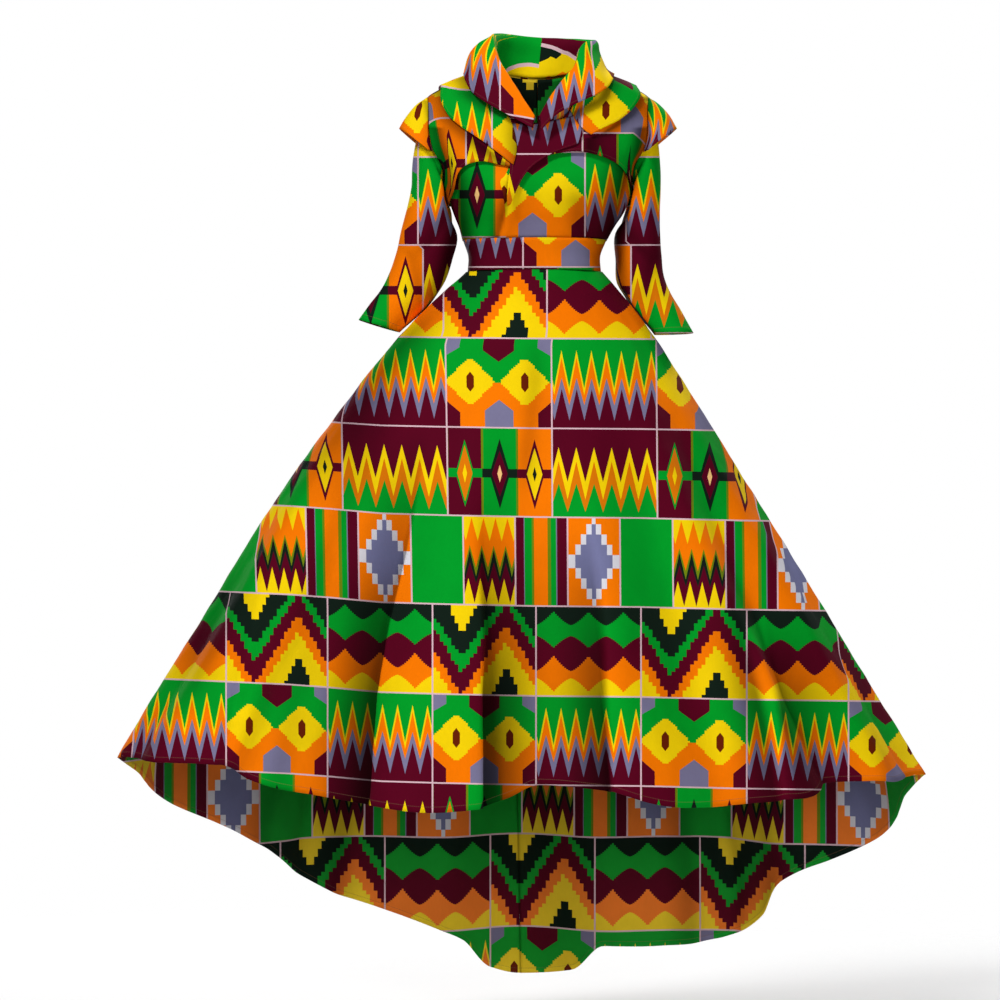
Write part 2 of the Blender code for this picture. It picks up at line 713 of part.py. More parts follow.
def bolero():
    """The two fronts and the back of the overlay, and its armhole edges for the caps."""
    steps = RINGS_ARM + RINGS_SHOULDER
    edge = SEAM / 2
    split = aimed(((BOLERO_FRONT, BOLERO_RIGHT_HEM[0][1]), (BOLERO_FRONT, -0.098), (BOLERO_FRONT, -0.0600)))
    left, edge_left = bolero_front(-1, mirror(BOLERO_LEFT_HEM)[::-1], BOLERO_HEM_LEFT_SPREAD, split)
    right, edge_right = bolero_front(1, BOLERO_RIGHT_HEM, BOLERO_HEM_RIGHT_SPREAD, split)
    cloth("bolero_left", left, (0.80, 0.28, 0.02))
    cloth("bolero_right", right, (0.28, 0.02, 0.05))

    side_right = ((0.1500, BOLERO_SIDE_RIGHT),) + BOLERO_ARMHOLE
    side_left = ((-0.1500, BOLERO_SIDE_LEFT),) + mirror(BOLERO_ARMHOLE)
    rear_right = rising(aimed(side_right, True), aimed(SHOULDER, True), RINGS_ARM, RINGS_SHOULDER)
    rear_left = rising(aimed(side_left, True), aimed(mirror(SHOULDER), True), RINGS_ARM, RINGS_SHOULDER)
    nape = aimed(NECK_BACK + mirror(NECK_BACK)[-2::-1], True)
    low = [on_torso(0.1500, BOLERO_SIDE_RIGHT, True)]
    low += ring_row((BOLERO_SIDE_LEFT + BOLERO_SIDE_RIGHT) / 2, 16, 90, 270)[1:-1]
    low += [on_torso(-0.1500, BOLERO_SIDE_LEFT, True)]
    low_line = path([line_of(low)(t) for t in shares(2 * HALF_COLUMNS)])
    back = patch(low_line, path(nape), rear_right, rear_left, shares(2 * HALF_COLUMNS), shares(steps),
                 BOLERO_LIFT)
    cloth("bolero_back", pull(back, edge, edge, 0, 0.002, RINGS_ARM), (0.03, 0.30, 0.07))
    return {"left": (edge_left, [row[-1] for row in back]),
            "right": (edge_right, [row[0] for row in back])}


def cap(name, side, edges, rgb):
    """A stiff cap: its seam runs over the top half of the armhole, its point stands out."""
    front_edge, back_edge = edges
    lowest = 4
    first, second = (front_edge, back_edge) if side > 0 else (back_edge, front_edge)
    seam = first[lowest:RINGS_ARM + 1] + second[RINGS_ARM - 1:lowest - 1:-1]
    count = len(seam) - 1
    rows = []
    for t in shares(CAP_STEPS, 1, 0):
        row = []
        for j, p in enumerate(seam):
            turn = math.pi * j / count
            high = math.sin(turn)
            deep = -side * math.cos(turn)
            base = p + Vector((side * 0.0005, 0, 0))
            tip = Vector((side * (0.1735 + 0.0490 * high), deep * 0.0540 * (1 - 0.1 * high),
                          -0.1000 + 0.0385 * high))
            q = base.lerp(tip, t)
            q += Vector((side * 0.35, 0, 1)).normalized() * (0.006 * 4 * t * (1 - t) * high)
            row.append(q)
        rows.append(row)
    cloth(name, rows, rgb, thickness=STIFF)


def lapel():
    """The right front lapel, wrapped over the centre down to a narrow point."""
    inner = path(aimed(LAPEL_INNER))
    outer = path(aimed(LAPEL_OUTER))
    low = path([inner(0), outer(0)])
    high = path([inner(1), *aimed(((-0.0050, -0.0660), (0.0300, -0.0580))), outer(1)])
    rows = patch(low, high, inner, outer, shares(6), shares(11), LAPEL_LIFT)
    cloth("lapel_right", rows, (0.25, 0.02, 0.05))


def lower_lift(p):
    """The lower collar lies on the bolero, and in front over the right lapel."""
    if p.y > 0:
        return COLLAR_LIFT
    over = soft_step((p.x + 0.105) / 0.045) if p.x < 0.02 else soft_step((0.105 - p.x) / 0.035)
    return COLLAR_LIFT + (OVERLAP_LIFT - COLLAR_LIFT) * over


def rest(p):
    """A point of the upper collar, moved out until it lies clear on the lower one."""
    q = reach(*aim(p))
    normal = outward(q)
    least = lower_lift(q) + UPPER_GAP * (1.6 if q.y > 0 else 1.0)
    height = (p - q).dot(normal)
    if height >= least:
        return p
    return p + normal * (least - height)


def collar_lower():
    """The flat collar on the shoulders, with its long left lapel."""
    right = aimed(COLLAR_EDGE_RIGHT)
    back = aimed(COLLAR_EDGE_BACK + mirror(COLLAR_EDGE_BACK)[-2::-1], True)
    left = [(a + 2 * math.pi, b) for a, b in aimed(COLLAR_EDGE_LEFT)]
    edge = path(right + back + left)
    neck_right = [aimed(COLLAR_END_RIGHT)[-1]] + aimed(NECK_FRONT)[2::-1]
    nape = aimed(NECK_BACK + mirror(NECK_BACK)[-2::-1], True)
    neck_left = [(a + 2 * math.pi, b) for a, b in
                 aimed(mirror(NECK_FRONT))[1:3] + [aimed(COLLAR_END_LEFT)[-1]]]
    neck = path(neck_right + nape[1:-1] + [(nape[-1])] + neck_left)
    end_right = path(aimed(COLLAR_END_RIGHT))
    end_left = path([(a + 2 * math.pi, b) for a, b in aimed(COLLAR_END_LEFT)])
    rows = patch(edge, neck, end_right, end_left, shares(34), shares(5), lower_lift)
    cloth("collar_lower", pull(rows, high=0.002), (0.72, 0.60, 0.05))


def collar_upper():
    """The collar that stands behind the neck, rolls over its rim and falls to a V in front."""
    columns = [through(COLLAR_UPPER, k) for k in range(1, 8)]
    neck = aimed(NECK_FRONT)[::-1] + aimed(NECK_BACK + mirror(NECK_BACK)[-2::-1], True)[1:]
    neck += [(a + 2 * math.pi, b) for a, b in aimed(mirror(NECK_FRONT))[1:]]
    foot_line = path(neck)
    feet = []
    for share in shares(COLLAR_COLUMNS, 0.015, 0.985):
        p = reach(*foot_line(share))
        feet.append(p + outward(p) * 0.0005)
    rows = [[] for _ in range(COLLAR_FALL_STEPS + 3 + COLLAR_STAND_STEPS)]
    for i, share in enumerate(shares(COLLAR_COLUMNS)):
        values = [column(share) for column in columns]
        rim, edge, swell = Vector(values[0:3]), Vector(values[3:6]), values[6]
        away = edge - rim
        away.z = 0
        away.normalize()
        up = Vector((0, 0, 1))
        span = (edge - rim).length
        fall_top = rim + away * RIM_HALF - up * 0.003
        stand_top = rim - away * RIM_HALF - up * 0.003
        k = 0
        for t in shares(COLLAR_FALL_STEPS, 0, 1):
            q = edge.lerp(fall_top, t)
            side = away.cross(edge - fall_top).cross(edge - fall_top).normalized()
            if side.dot(away + up) < 0:
                side = -side
            q += side * (swell + 0.05 * span) * 4 * t * (1 - t)
            rows[k].append(rest(q))
            k += 1
        rows[k].append(rim)
        k += 1
        foot = feet[i]
        for t in shares(COLLAR_STAND_STEPS, 0, 1):
            rows[k].append(stand_top.lerp(foot, t))
            k += 1
    cloth("collar_upper", rows, (0.06, 0.32, 0.08))


for old in list(bpy.data.objects):
    bpy.data.objects.remove(old, do_unlink=True)

dress = bpy.data.collections.new("bazin_dress")
bpy.context.scene.collection.children.link(dress)

armholes = bodice()
waistband()
skirt()
sleeve("sleeve_left", -1, SLEEVE_LEFT, armholes["left"], (0.03, 0.33, 0.08))
sleeve("sleeve_right", 1, SLEEVE_RIGHT, armholes["right"], (0.04, 0.30, 0.10))
overlay = bolero()
cap("cap_sleeve_left", -1, overlay["left"], (0.70, 0.52, 0.04))
cap("cap_sleeve_right", 1, overlay["right"], (0.60, 0.24, 0.05))
lapel()
collar_lower()
collar_upper()
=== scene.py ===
"""Looks of a worn printed dress: every panel as thin cloth on its solid's form, with folds,
hems and a traditional strip print.

Metres, +Z up, the front faces -Y. The picture is 1000 x 1000 points.
"""

from bisect import bisect_left
import math

import bpy
import numpy as np
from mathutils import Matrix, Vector, noise


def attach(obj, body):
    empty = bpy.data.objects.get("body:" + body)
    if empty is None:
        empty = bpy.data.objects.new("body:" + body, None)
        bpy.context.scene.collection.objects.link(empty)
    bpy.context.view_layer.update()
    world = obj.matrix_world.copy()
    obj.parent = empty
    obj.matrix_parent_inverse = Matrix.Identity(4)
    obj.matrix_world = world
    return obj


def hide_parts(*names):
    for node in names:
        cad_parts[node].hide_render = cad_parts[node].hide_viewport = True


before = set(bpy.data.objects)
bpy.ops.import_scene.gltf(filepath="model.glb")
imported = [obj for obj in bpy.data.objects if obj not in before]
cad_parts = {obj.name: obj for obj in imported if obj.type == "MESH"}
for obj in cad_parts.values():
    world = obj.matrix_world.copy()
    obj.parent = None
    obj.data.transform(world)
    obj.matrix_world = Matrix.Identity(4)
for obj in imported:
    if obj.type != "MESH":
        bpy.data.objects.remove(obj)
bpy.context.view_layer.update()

# Camera
POINT = 0.0016
DISTANCE = 6.5
PICTURE, SENSOR, CLIP = 1000, 36, 60
VIEW_X = -0.0608
VIEW_Z = -0.656

# Cloth
EDGE = 0.00005
NECK_INSET, BOLERO_NECK_INSET = 0.002, 0.003
SHOULDER_PULL = 2.2
HIDDEN_DROP = -0.003
HIDDEN_FROM, HIDDEN_BEHIND = -0.14, 0.045
HIDDEN_FADE, HIDDEN_TURN = 0.03, 0.025
BOLERO_LIFT = 0.0054
LAPEL_LIFT = 0.0084
COLLAR_LIFT = 0.0104
OVERLAP_LIFT = 0.0118
OVERLAP_MIDDLE, OVERLAP_END = 0.02, 0.105
OVERLAP_LEFT, OVERLAP_RIGHT = 0.045, 0.035
UPPER_GAP = 0.003
UPPER_BACK = 1.6
SLEEVE_CLEAR = 0.0092
CLEAR_LOW, CLEAR_MORE = 0.55, 0.45
CLEAR_FROM, CLEAR_FADE = -0.215, 0.02
SLEEVE_START = 0.0007
SLEEVE_OUT = 0.0011

# Heights
WAIST_TOP = -0.2415
WAIST_SEAM = -0.2915
UNDERARM = -0.152
SIDE_TOP = -0.138
BOLERO_SIDE = 0.15
BOLERO_SIDE_LEFT = -0.188
BOLERO_SIDE_RIGHT = -0.178

# Grids
RINGS_LOW = 4
RINGS_ARM = 8
RINGS_SHOULDER = 4
HALF_COLUMNS = 8
RINGS_NECK = 8
BOLERO_STEPS = 4
FINE = 5
SKIRT_RINGS_POWER = 1.2
HALVINGS = 26

# The worn torso, by height
TORSO = (
    # height, middle, half_width, front, back
    (-0.3, -0.006, 0.108, 0.085, 0.08),
    (-0.268, -0.006, 0.1065, 0.084, 0.079),
    (-0.242, -0.0055, 0.115, 0.088, 0.082),
    (-0.21, -0.001, 0.129, 0.098, 0.089),
    (-0.18, 0.002, 0.144, 0.106, 0.095),
    (-0.152, 0, 0.149, 0.108, 0.099),
    (-0.125, 0, 0.157, 0.104, 0.1),
    (-0.1, 0, 0.174, 0.098, 0.099),
    (-0.075, 0, 0.179, 0.09, 0.097),
    (-0.045, 0, 0.179, 0.08, 0.091),
    (-0.014, 0, 0.172, 0.068, 0.08),
    (0.003, 0, 0.14, 0.063, 0.074),
    (0.018, 0, 0.1, 0.06, 0.069),
    (0.03, 0, 0.066, 0.058, 0.065),
    (0.08, 0, 0.056, 0.056, 0.06),
)
SQUARE = 2.3
CHEST = Vector((0, 0, -0.12))
NEAREST, FURTHEST, PROBE = 0.03, 0.30, 0.0008
UP = Vector((0, 0, 1))
CUPS = (-0.064, 0.071)
CUP_RISE = 0.02
CUP_WIDTH = 0.044
CUP_HEIGHT = -0.172
CUP_TALL = 0.04

# The skirt, by height
SKIRT = (
    # height, middle, half_width, front, back
    (-0.2915, -0.006, 0.109, 0.086, 0.081),
    (-0.342, -0.012, 0.159, 0.128, 0.136),
    (-0.392, -0.018, 0.202, 0.16, 0.178),
    (-0.472, -0.025, 0.261, 0.205, 0.235),
    (-0.704, -0.035, 0.416, 0.305, 0.36),
    (-0.832, -0.035, 0.494, 0.355, 0.42),
    (-0.96, -0.036, 0.573, 0.405, 0.48),
    (-1.06, -0.035, 0.634, 0.44, 0.525),
    (-1.1, -0.033, 0.656, 0.452, 0.542),
    (-1.3, -0.028, 0.74, 0.505, 0.6),
    (-1.5, -0.025, 0.795, 0.55, 0.635),
)

# The hem, by the angle from the front (positive to the viewer's right)
HEM = (
    # angle, height
    (-102, -1.094), (-90, -1.068), (-80, -1.063), (-58, -1.062), (-47, -1.068), (-39, -1.081),
    (-33, -1.096), (-25, -1.112), (-13, -1.121), (-7, -1.122), (-2, -1.105), (3, -1.084), (11, -1.089),
    (17, -1.109), (23, -1.118), (29, -1.12), (41, -1.108), (54, -1.091), (80, -1.091), (90, -1.095),
    (104, -1.134), (119, -1.207), (130, -1.262), (138, -1.3), (144, -1.365), (154, -1.418), (162, -1.43),
    (168, -1.428), (173, -1.474), (180, -1.486), (184, -1.472), (188, -1.42), (192, -1.398),
    (206, -1.332), (218, -1.262), (232, -1.188), (247, -1.13), (258, -1.094), (270, -1.068),
    (280, -1.063),
)

# The flutes, by angle: 0 is the crest of a flute, 1 the bottom of the hollow beside it
FLUTES = (
    # angle, hollow
    (-105, 0.25), (-90, 0), (-76, 0.3), (-62, 0), (-50, 0.75), (-38, 0.05), (-25, 1), (-13, -0.2),
    (-1, 0.95), (9, 0.5), (17, 0), (32, 0.8), (42, 0), (54, 0.8), (66, 0.05), (78, 0.3), (90, 0),
    (105, 0.25), (121, 0), (138, 0.9), (154, 0), (168, 1), (180, 0), (191, 1), (206, 0), (221, 0.85),
    (238, 0), (255, 0.25), (270, 0), (284, 0.3),
)
FLUTE_DEPTH = (
    # height, depth
    (-0.38, 0), (-0.5, 0.005), (-0.7, 0.028), (-0.9, 0.052), (-1.1, 0.07), (-1.45, 0.08),
)

# Seam lines on the torso, each point as width and height
ARMHOLE = ((0.15, -0.152), (0.1494, -0.146), (0.1506, -0.135), (0.1544, -0.12), (0.1662, -0.1),
           (0.17, -0.07), (0.17, -0.03), (0.172, -0.014))
SHOULDER = ((0.172, -0.014), (0.14, 0.003), (0.1, 0.018), (0.068, 0.0293))
NECK_FRONT = ((0.068, 0.0293), (0.066, 0.008), (0.062, -0.015), (0.051, -0.038), (0.03, -0.056), (0, -0.064))
NECK_BACK = ((0.068, 0.0293), (0.05, 0.029), (0.025, 0.027), (0, 0.026))
BOLERO_ARMHOLE = ((0.15, -0.162), (0.1465, -0.153), (0.1457, -0.14), (0.1509, -0.12), (0.1627, -0.1),
                  (0.169, -0.075), (0.17, -0.03), (0.172, -0.014))
BOLERO_LEFT_HEM = ((-0.15, -0.188), (-0.137, -0.18), (-0.131, -0.165), (-0.121, -0.135), (-0.108, -0.126),
                   (-0.092, -0.123), (-0.061, -0.13), (-0.04, -0.134), (-0.02, -0.134))
BOLERO_RIGHT_HEM = ((-0.02, -0.134), (0, -0.123), (0.023, -0.113), (0.057, -0.108), (0.097, -0.114),
                    (0.121, -0.124), (0.137, -0.141), (0.144, -0.158), (0.15, -0.178))
BOLERO_FRONT = -0.02
BOLERO_SPLIT = (-0.098, -0.06)
BOLERO_HEM_LEFT_SPREAD = ((0, 0), (8, 0.2), (12, 0.42), (16, 0.58), (18, 0.7), (20, 1))
BOLERO_HEM_RIGHT_SPREAD = ((0, 0), (8, 0.28), (12, 0.53), (16, 0.7), (18, 0.79), (20, 1))
BOLERO_MIDDLE = (
    # column, width, height
    (3, 0.034, -0.08), (8, 0.068, -0.04), (10, 0.106, -0.026), (12, 0.146, -0.028), (14, 0.15, -0.058),
    (16, 0.144, -0.096),
)
LAPEL_INNER = ((-0.049, -0.1905), (-0.047, -0.15), (-0.044, -0.1), (-0.04, -0.064))
LAPEL_OUTER = ((-0.0445, -0.188), (-0.026, -0.151), (-0.006, -0.13), (0.023, -0.112), (0.045, -0.103),
               (0.064, -0.094), (0.068, -0.076), (0.06, -0.05))
LAPEL_TOP = ((-0.005, -0.066), (0.03, -0.058))
COLLAR_EDGE_RIGHT = ((0.081, -0.083), (0.097, -0.073), (0.126, -0.056), (0.148, -0.034), (0.157, -0.015),
                     (0.151, -0.003))
COLLAR_EDGE_BACK = ((0.148, -0.015), (0.136, -0.033), (0.11, -0.06), (0.06, -0.076), (0, -0.08))
COLLAR_EDGE_LEFT = ((-0.151, -0.003), (-0.153, -0.015), (-0.148, -0.029), (-0.138, -0.049), (-0.118, -0.069),
                    (-0.088, -0.091), (-0.06, -0.115), (-0.04, -0.134))
COLLAR_END_RIGHT = ((0.081, -0.083), (0.067, -0.073), (0.056, -0.056), (0.048, -0.042))
COLLAR_END_LEFT = ((-0.04, -0.134), (-0.035, -0.12), (-0.035, -0.09), (-0.042, -0.064), (-0.054, -0.036))

# The bent sleeves: rings across the arm, from above the elbow's bend down to the hem
SLEEVE_LEFT = (
    # x, y, z, half_width, half_depth, tilt
    (-0.164, 0.004, -0.161, 0.039, 0.047, 8),
    (-0.1675, 0.006, -0.192, 0.0425, 0.048, 4),
    (-0.1736, 0.01, -0.2272, 0.0456, 0.048, 5),
    (-0.182, 0.013, -0.265, 0.0456, 0.047, 7),
    (-0.1928, 0.014, -0.2976, 0.045, 0.046, 10),
    (-0.21, 0.012, -0.329, 0.042, 0.044, 18),
    (-0.235, 0.008, -0.3565, 0.037, 0.042, 24),
    (-0.2544, 0.004, -0.3776, 0.0344, 0.041, 17),
)
SLEEVE_RIGHT = (
    # x, y, z, half_width, half_depth, tilt
    (0.159, 0.004, -0.161, 0.038, 0.047, 8),
    (0.16, 0.006, -0.192, 0.0355, 0.049, 3),
    (0.1592, 0.01, -0.2272, 0.0362, 0.05, 2),
    (0.1608, 0.013, -0.2672, 0.0376, 0.049, 3),
    (0.1645, 0.014, -0.303, 0.038, 0.048, 9),
    (0.175, 0.012, -0.333, 0.0385, 0.046, 14),
    (0.1945, 0.008, -0.362, 0.0365, 0.043, 12),
    (0.2144, 0.004, -0.39, 0.0344, 0.041, 2),
)
HEAD_RINGS = 5
HEAD_BOWS = (0.3, 0.38)
HEAD_OUT, HEAD_OUT_LOW, HEAD_DOWN = 0.5, 0.5, 0.85

# The caps
CAP_STEPS = 3
CAP_LOWEST = 4
CAP_BOW = 0.006
CAP_OUT, CAP_OUT_MORE = 0.1735, 0.049
CAP_HEIGHT, CAP_HIGHER = -0.1, 0.0385
CAP_DEEP, CAP_NARROW = 0.054, 0.1
CAP_START, CAP_LEAN = 0.0005, 0.35

# The upper collar from its right front end round the back to its left front end
COLLAR_UPPER = (
    # share, rim_x, rim_y, rim_z, edge_x, edge_y, edge_z, swell
    (0, 0.001, -0.108, -0.052, 0.003, -0.1215, -0.076, 0),
    (0.06, 0.015, -0.102, -0.026, 0.026, -0.117, -0.052, 0.001),
    (0.13, 0.037, -0.088, 0.006, 0.063, -0.106, -0.03, 0.002),
    (0.2, 0.06, -0.066, 0.036, 0.095, -0.09, -0.014, 0),
    (0.27, 0.072, -0.045, 0.07, 0.115, -0.056, 0.004, -0.004),
    (0.34, 0.092, -0.005, 0.079, 0.12, 0, 0.02, -0.007),
    (0.42, 0.068, 0.048, 0.087, 0.086, 0.08, 0.006, -0.003),
    (0.51, 0, 0.078, 0.093, 0, 0.113, -0.01, 0),
    (0.6, -0.05, 0.054, 0.096, -0.084, 0.08, 0.006, 0.004),
    (0.68, -0.073, 0.005, 0.09, -0.117, 0.002, 0.02, 0.01),
    (0.75, -0.07, -0.033, 0.064, -0.112, -0.052, 0, 0.008),
    (0.81, -0.06, -0.056, 0.038, -0.098, -0.083, -0.018, 0.005),
    (0.87, -0.039, -0.083, 0.002, -0.075, -0.1, -0.034, 0.003),
    (0.94, -0.02, -0.1, -0.03, -0.043, -0.114, -0.053, 0.001),
    (1, -0.0055, -0.108, -0.052, -0.0085, -0.1205, -0.072, 0),
)
LAPEL_GRID, COLLAR_GRID = (6, 11), (34, 5)
COLLAR_COLUMNS = 32
COLLAR_STAND_STEPS = 2
COLLAR_FALL_STEPS = 4
RIM_HALF = 0.0034
RIM_DROP = 0.003
FALL_BOW = 0.05
FOOT_FROM, FOOT_TO, FOOT_LIFT = 0.015, 0.985, 0.0005

# The visual cloth
THIN = 0.0009
STITCH = 0.003
SEAM_SHOWN = 0.0022
RIPPLE = 38
UNEVEN, SKIRT_UNEVEN = 0.0006, 0.001
CREASE_TURN = 0.35
FAR = 9.0
LEAST_AREA, USUAL_AREA, FULL_AREA = 0.45, 0.62, 0.97

# The print: block width and row height in picture points
BLOCK = 105
ROW = 88
LEAST_STRETCH = 0.4
SIDE_STRETCH = 0.34
BOLERO_STRETCH = 0.1
BACK_STRETCH = 0.9
BACK_RATE = 2.5
BACK_PIECES = ("sleeve", "collar", "waistband", "cap")
SKIRT_MIDDLE = -0.035
SKIRT_ROUND = 1.3
SIDE_FROM, SIDE_WIDE = 1.25, 0.26
ROW_ANCHOR = 0.25
OFF_SKIRT = 200
SLEEVE_STEP = 5
LOW_SHIFT, TOP_SHIFT, FOURTH_SHIFT = 17, 6, -15
LINE_BESIDE, LINE_BELOW = 0.0075, 0.0085
SKIRT_ROWS = (
    # picture height, row
    (162, -2), (251, -1), (339, 0), (429, 1), (518, 2), (607, 3), (697, 4), (786, 5), (875, 6),
)
ROW_TILT = (
    # picture x, drop of the rows, shift of the columns
    (120, -20, 7), (200, -16.5, 7), (290, -12.5, 4), (330, -9.5, 2.5), (381, -4.8, 2.5), (440, -3, 2.5),
    (535, -1, 1), (640, 0, 1), (740, 2.5, 2), (850, 4, -1.5), (930, 5, -3),
)
SHIFT_SHARE = (
    # picture height, share of the columns' shift
    (330, 1), (345, -0.7), (440, 0), (520, 0.4), (610, 1),
)
TILT_SHARE = ((330, 0.5), (520, 1))
BACK_ROWS = (
    # height, row
    (-1.5, 8.6), (-1.402, 8), (-1.237, 7), (-1.078, 6), (-0.7, 3.45), (-0.2915, 0.6),
)
LAY = {
    # piece: (from share, to share, anchored at share, picture x, picture y, block, row)
    "skirt_front": ((0, 1, 0.5, 447, 0, 0, 0),),
    "skirt_back_right": ((0, 1, 1, 507, 0, 0, 0),),
    "skirt_back_left": ((0, 1, 0, 507, 0, 0, 0),),
    "bodice_front": ((0, 0.385, 0.3, 424.5, 149, 0, 1), (0.385, 1, 0.6, 585, 152, 1, 0)),
    "bodice_back_right": ((0, 1, 1, 500, 152, 0, 0),),
    "bodice_back_left": ((0, 1, 0, 500, 152, 0, 0),),
    "waistband": ((0, 1, 0.5, 523, 267, 0, 1),),
    "sleeve_left": ((0, 1, 0.75, 418, 157, 1, 0),),
    "sleeve_right": ((0, 1, 0.25, 626, 157, 1, 0),),
    "bolero_left": ((0, 1, 0.6, 466, 118, 1, 1),),
    "bolero_right": ((0, 1, 0.4, 582.5, 133, 0, 1),),
    "bolero_back": ((0, 1, 0.5, 500, 120, 0, 1),),
    "cap_sleeve_left": ((0, 1, 0.6, 446, 68, 1, 0),),
    "cap_sleeve_right": ((0, 1, 0.4, 600, 80, 1, 0),),
    "lapel_right": ((0, 1, 0.5, 485, 154, 1, 1),),
    "collar_lower": ((0, 0.5, 0.12, 580, 67, 0, 0), (0.5, 1, 0.86, 492, 90, 0, 0)),
    "collar_upper": ((0, 0.5, 0.12, 594, 36, 0, 0), (0.5, 1, 0.86, 500, 110, 0, 1)),
}
# For every piece whose name starts so: its hems (else the low edge) and their depth
HEMS = {"bodice": "", "lapel": "left right low", "collar_lower": "low left right", "waistband": "low high"}
HEM_DEPTH = {"skirt": 0.01, "sleeve": 0.012, "waistband": 0.002}
USUAL_HEM = 0.005
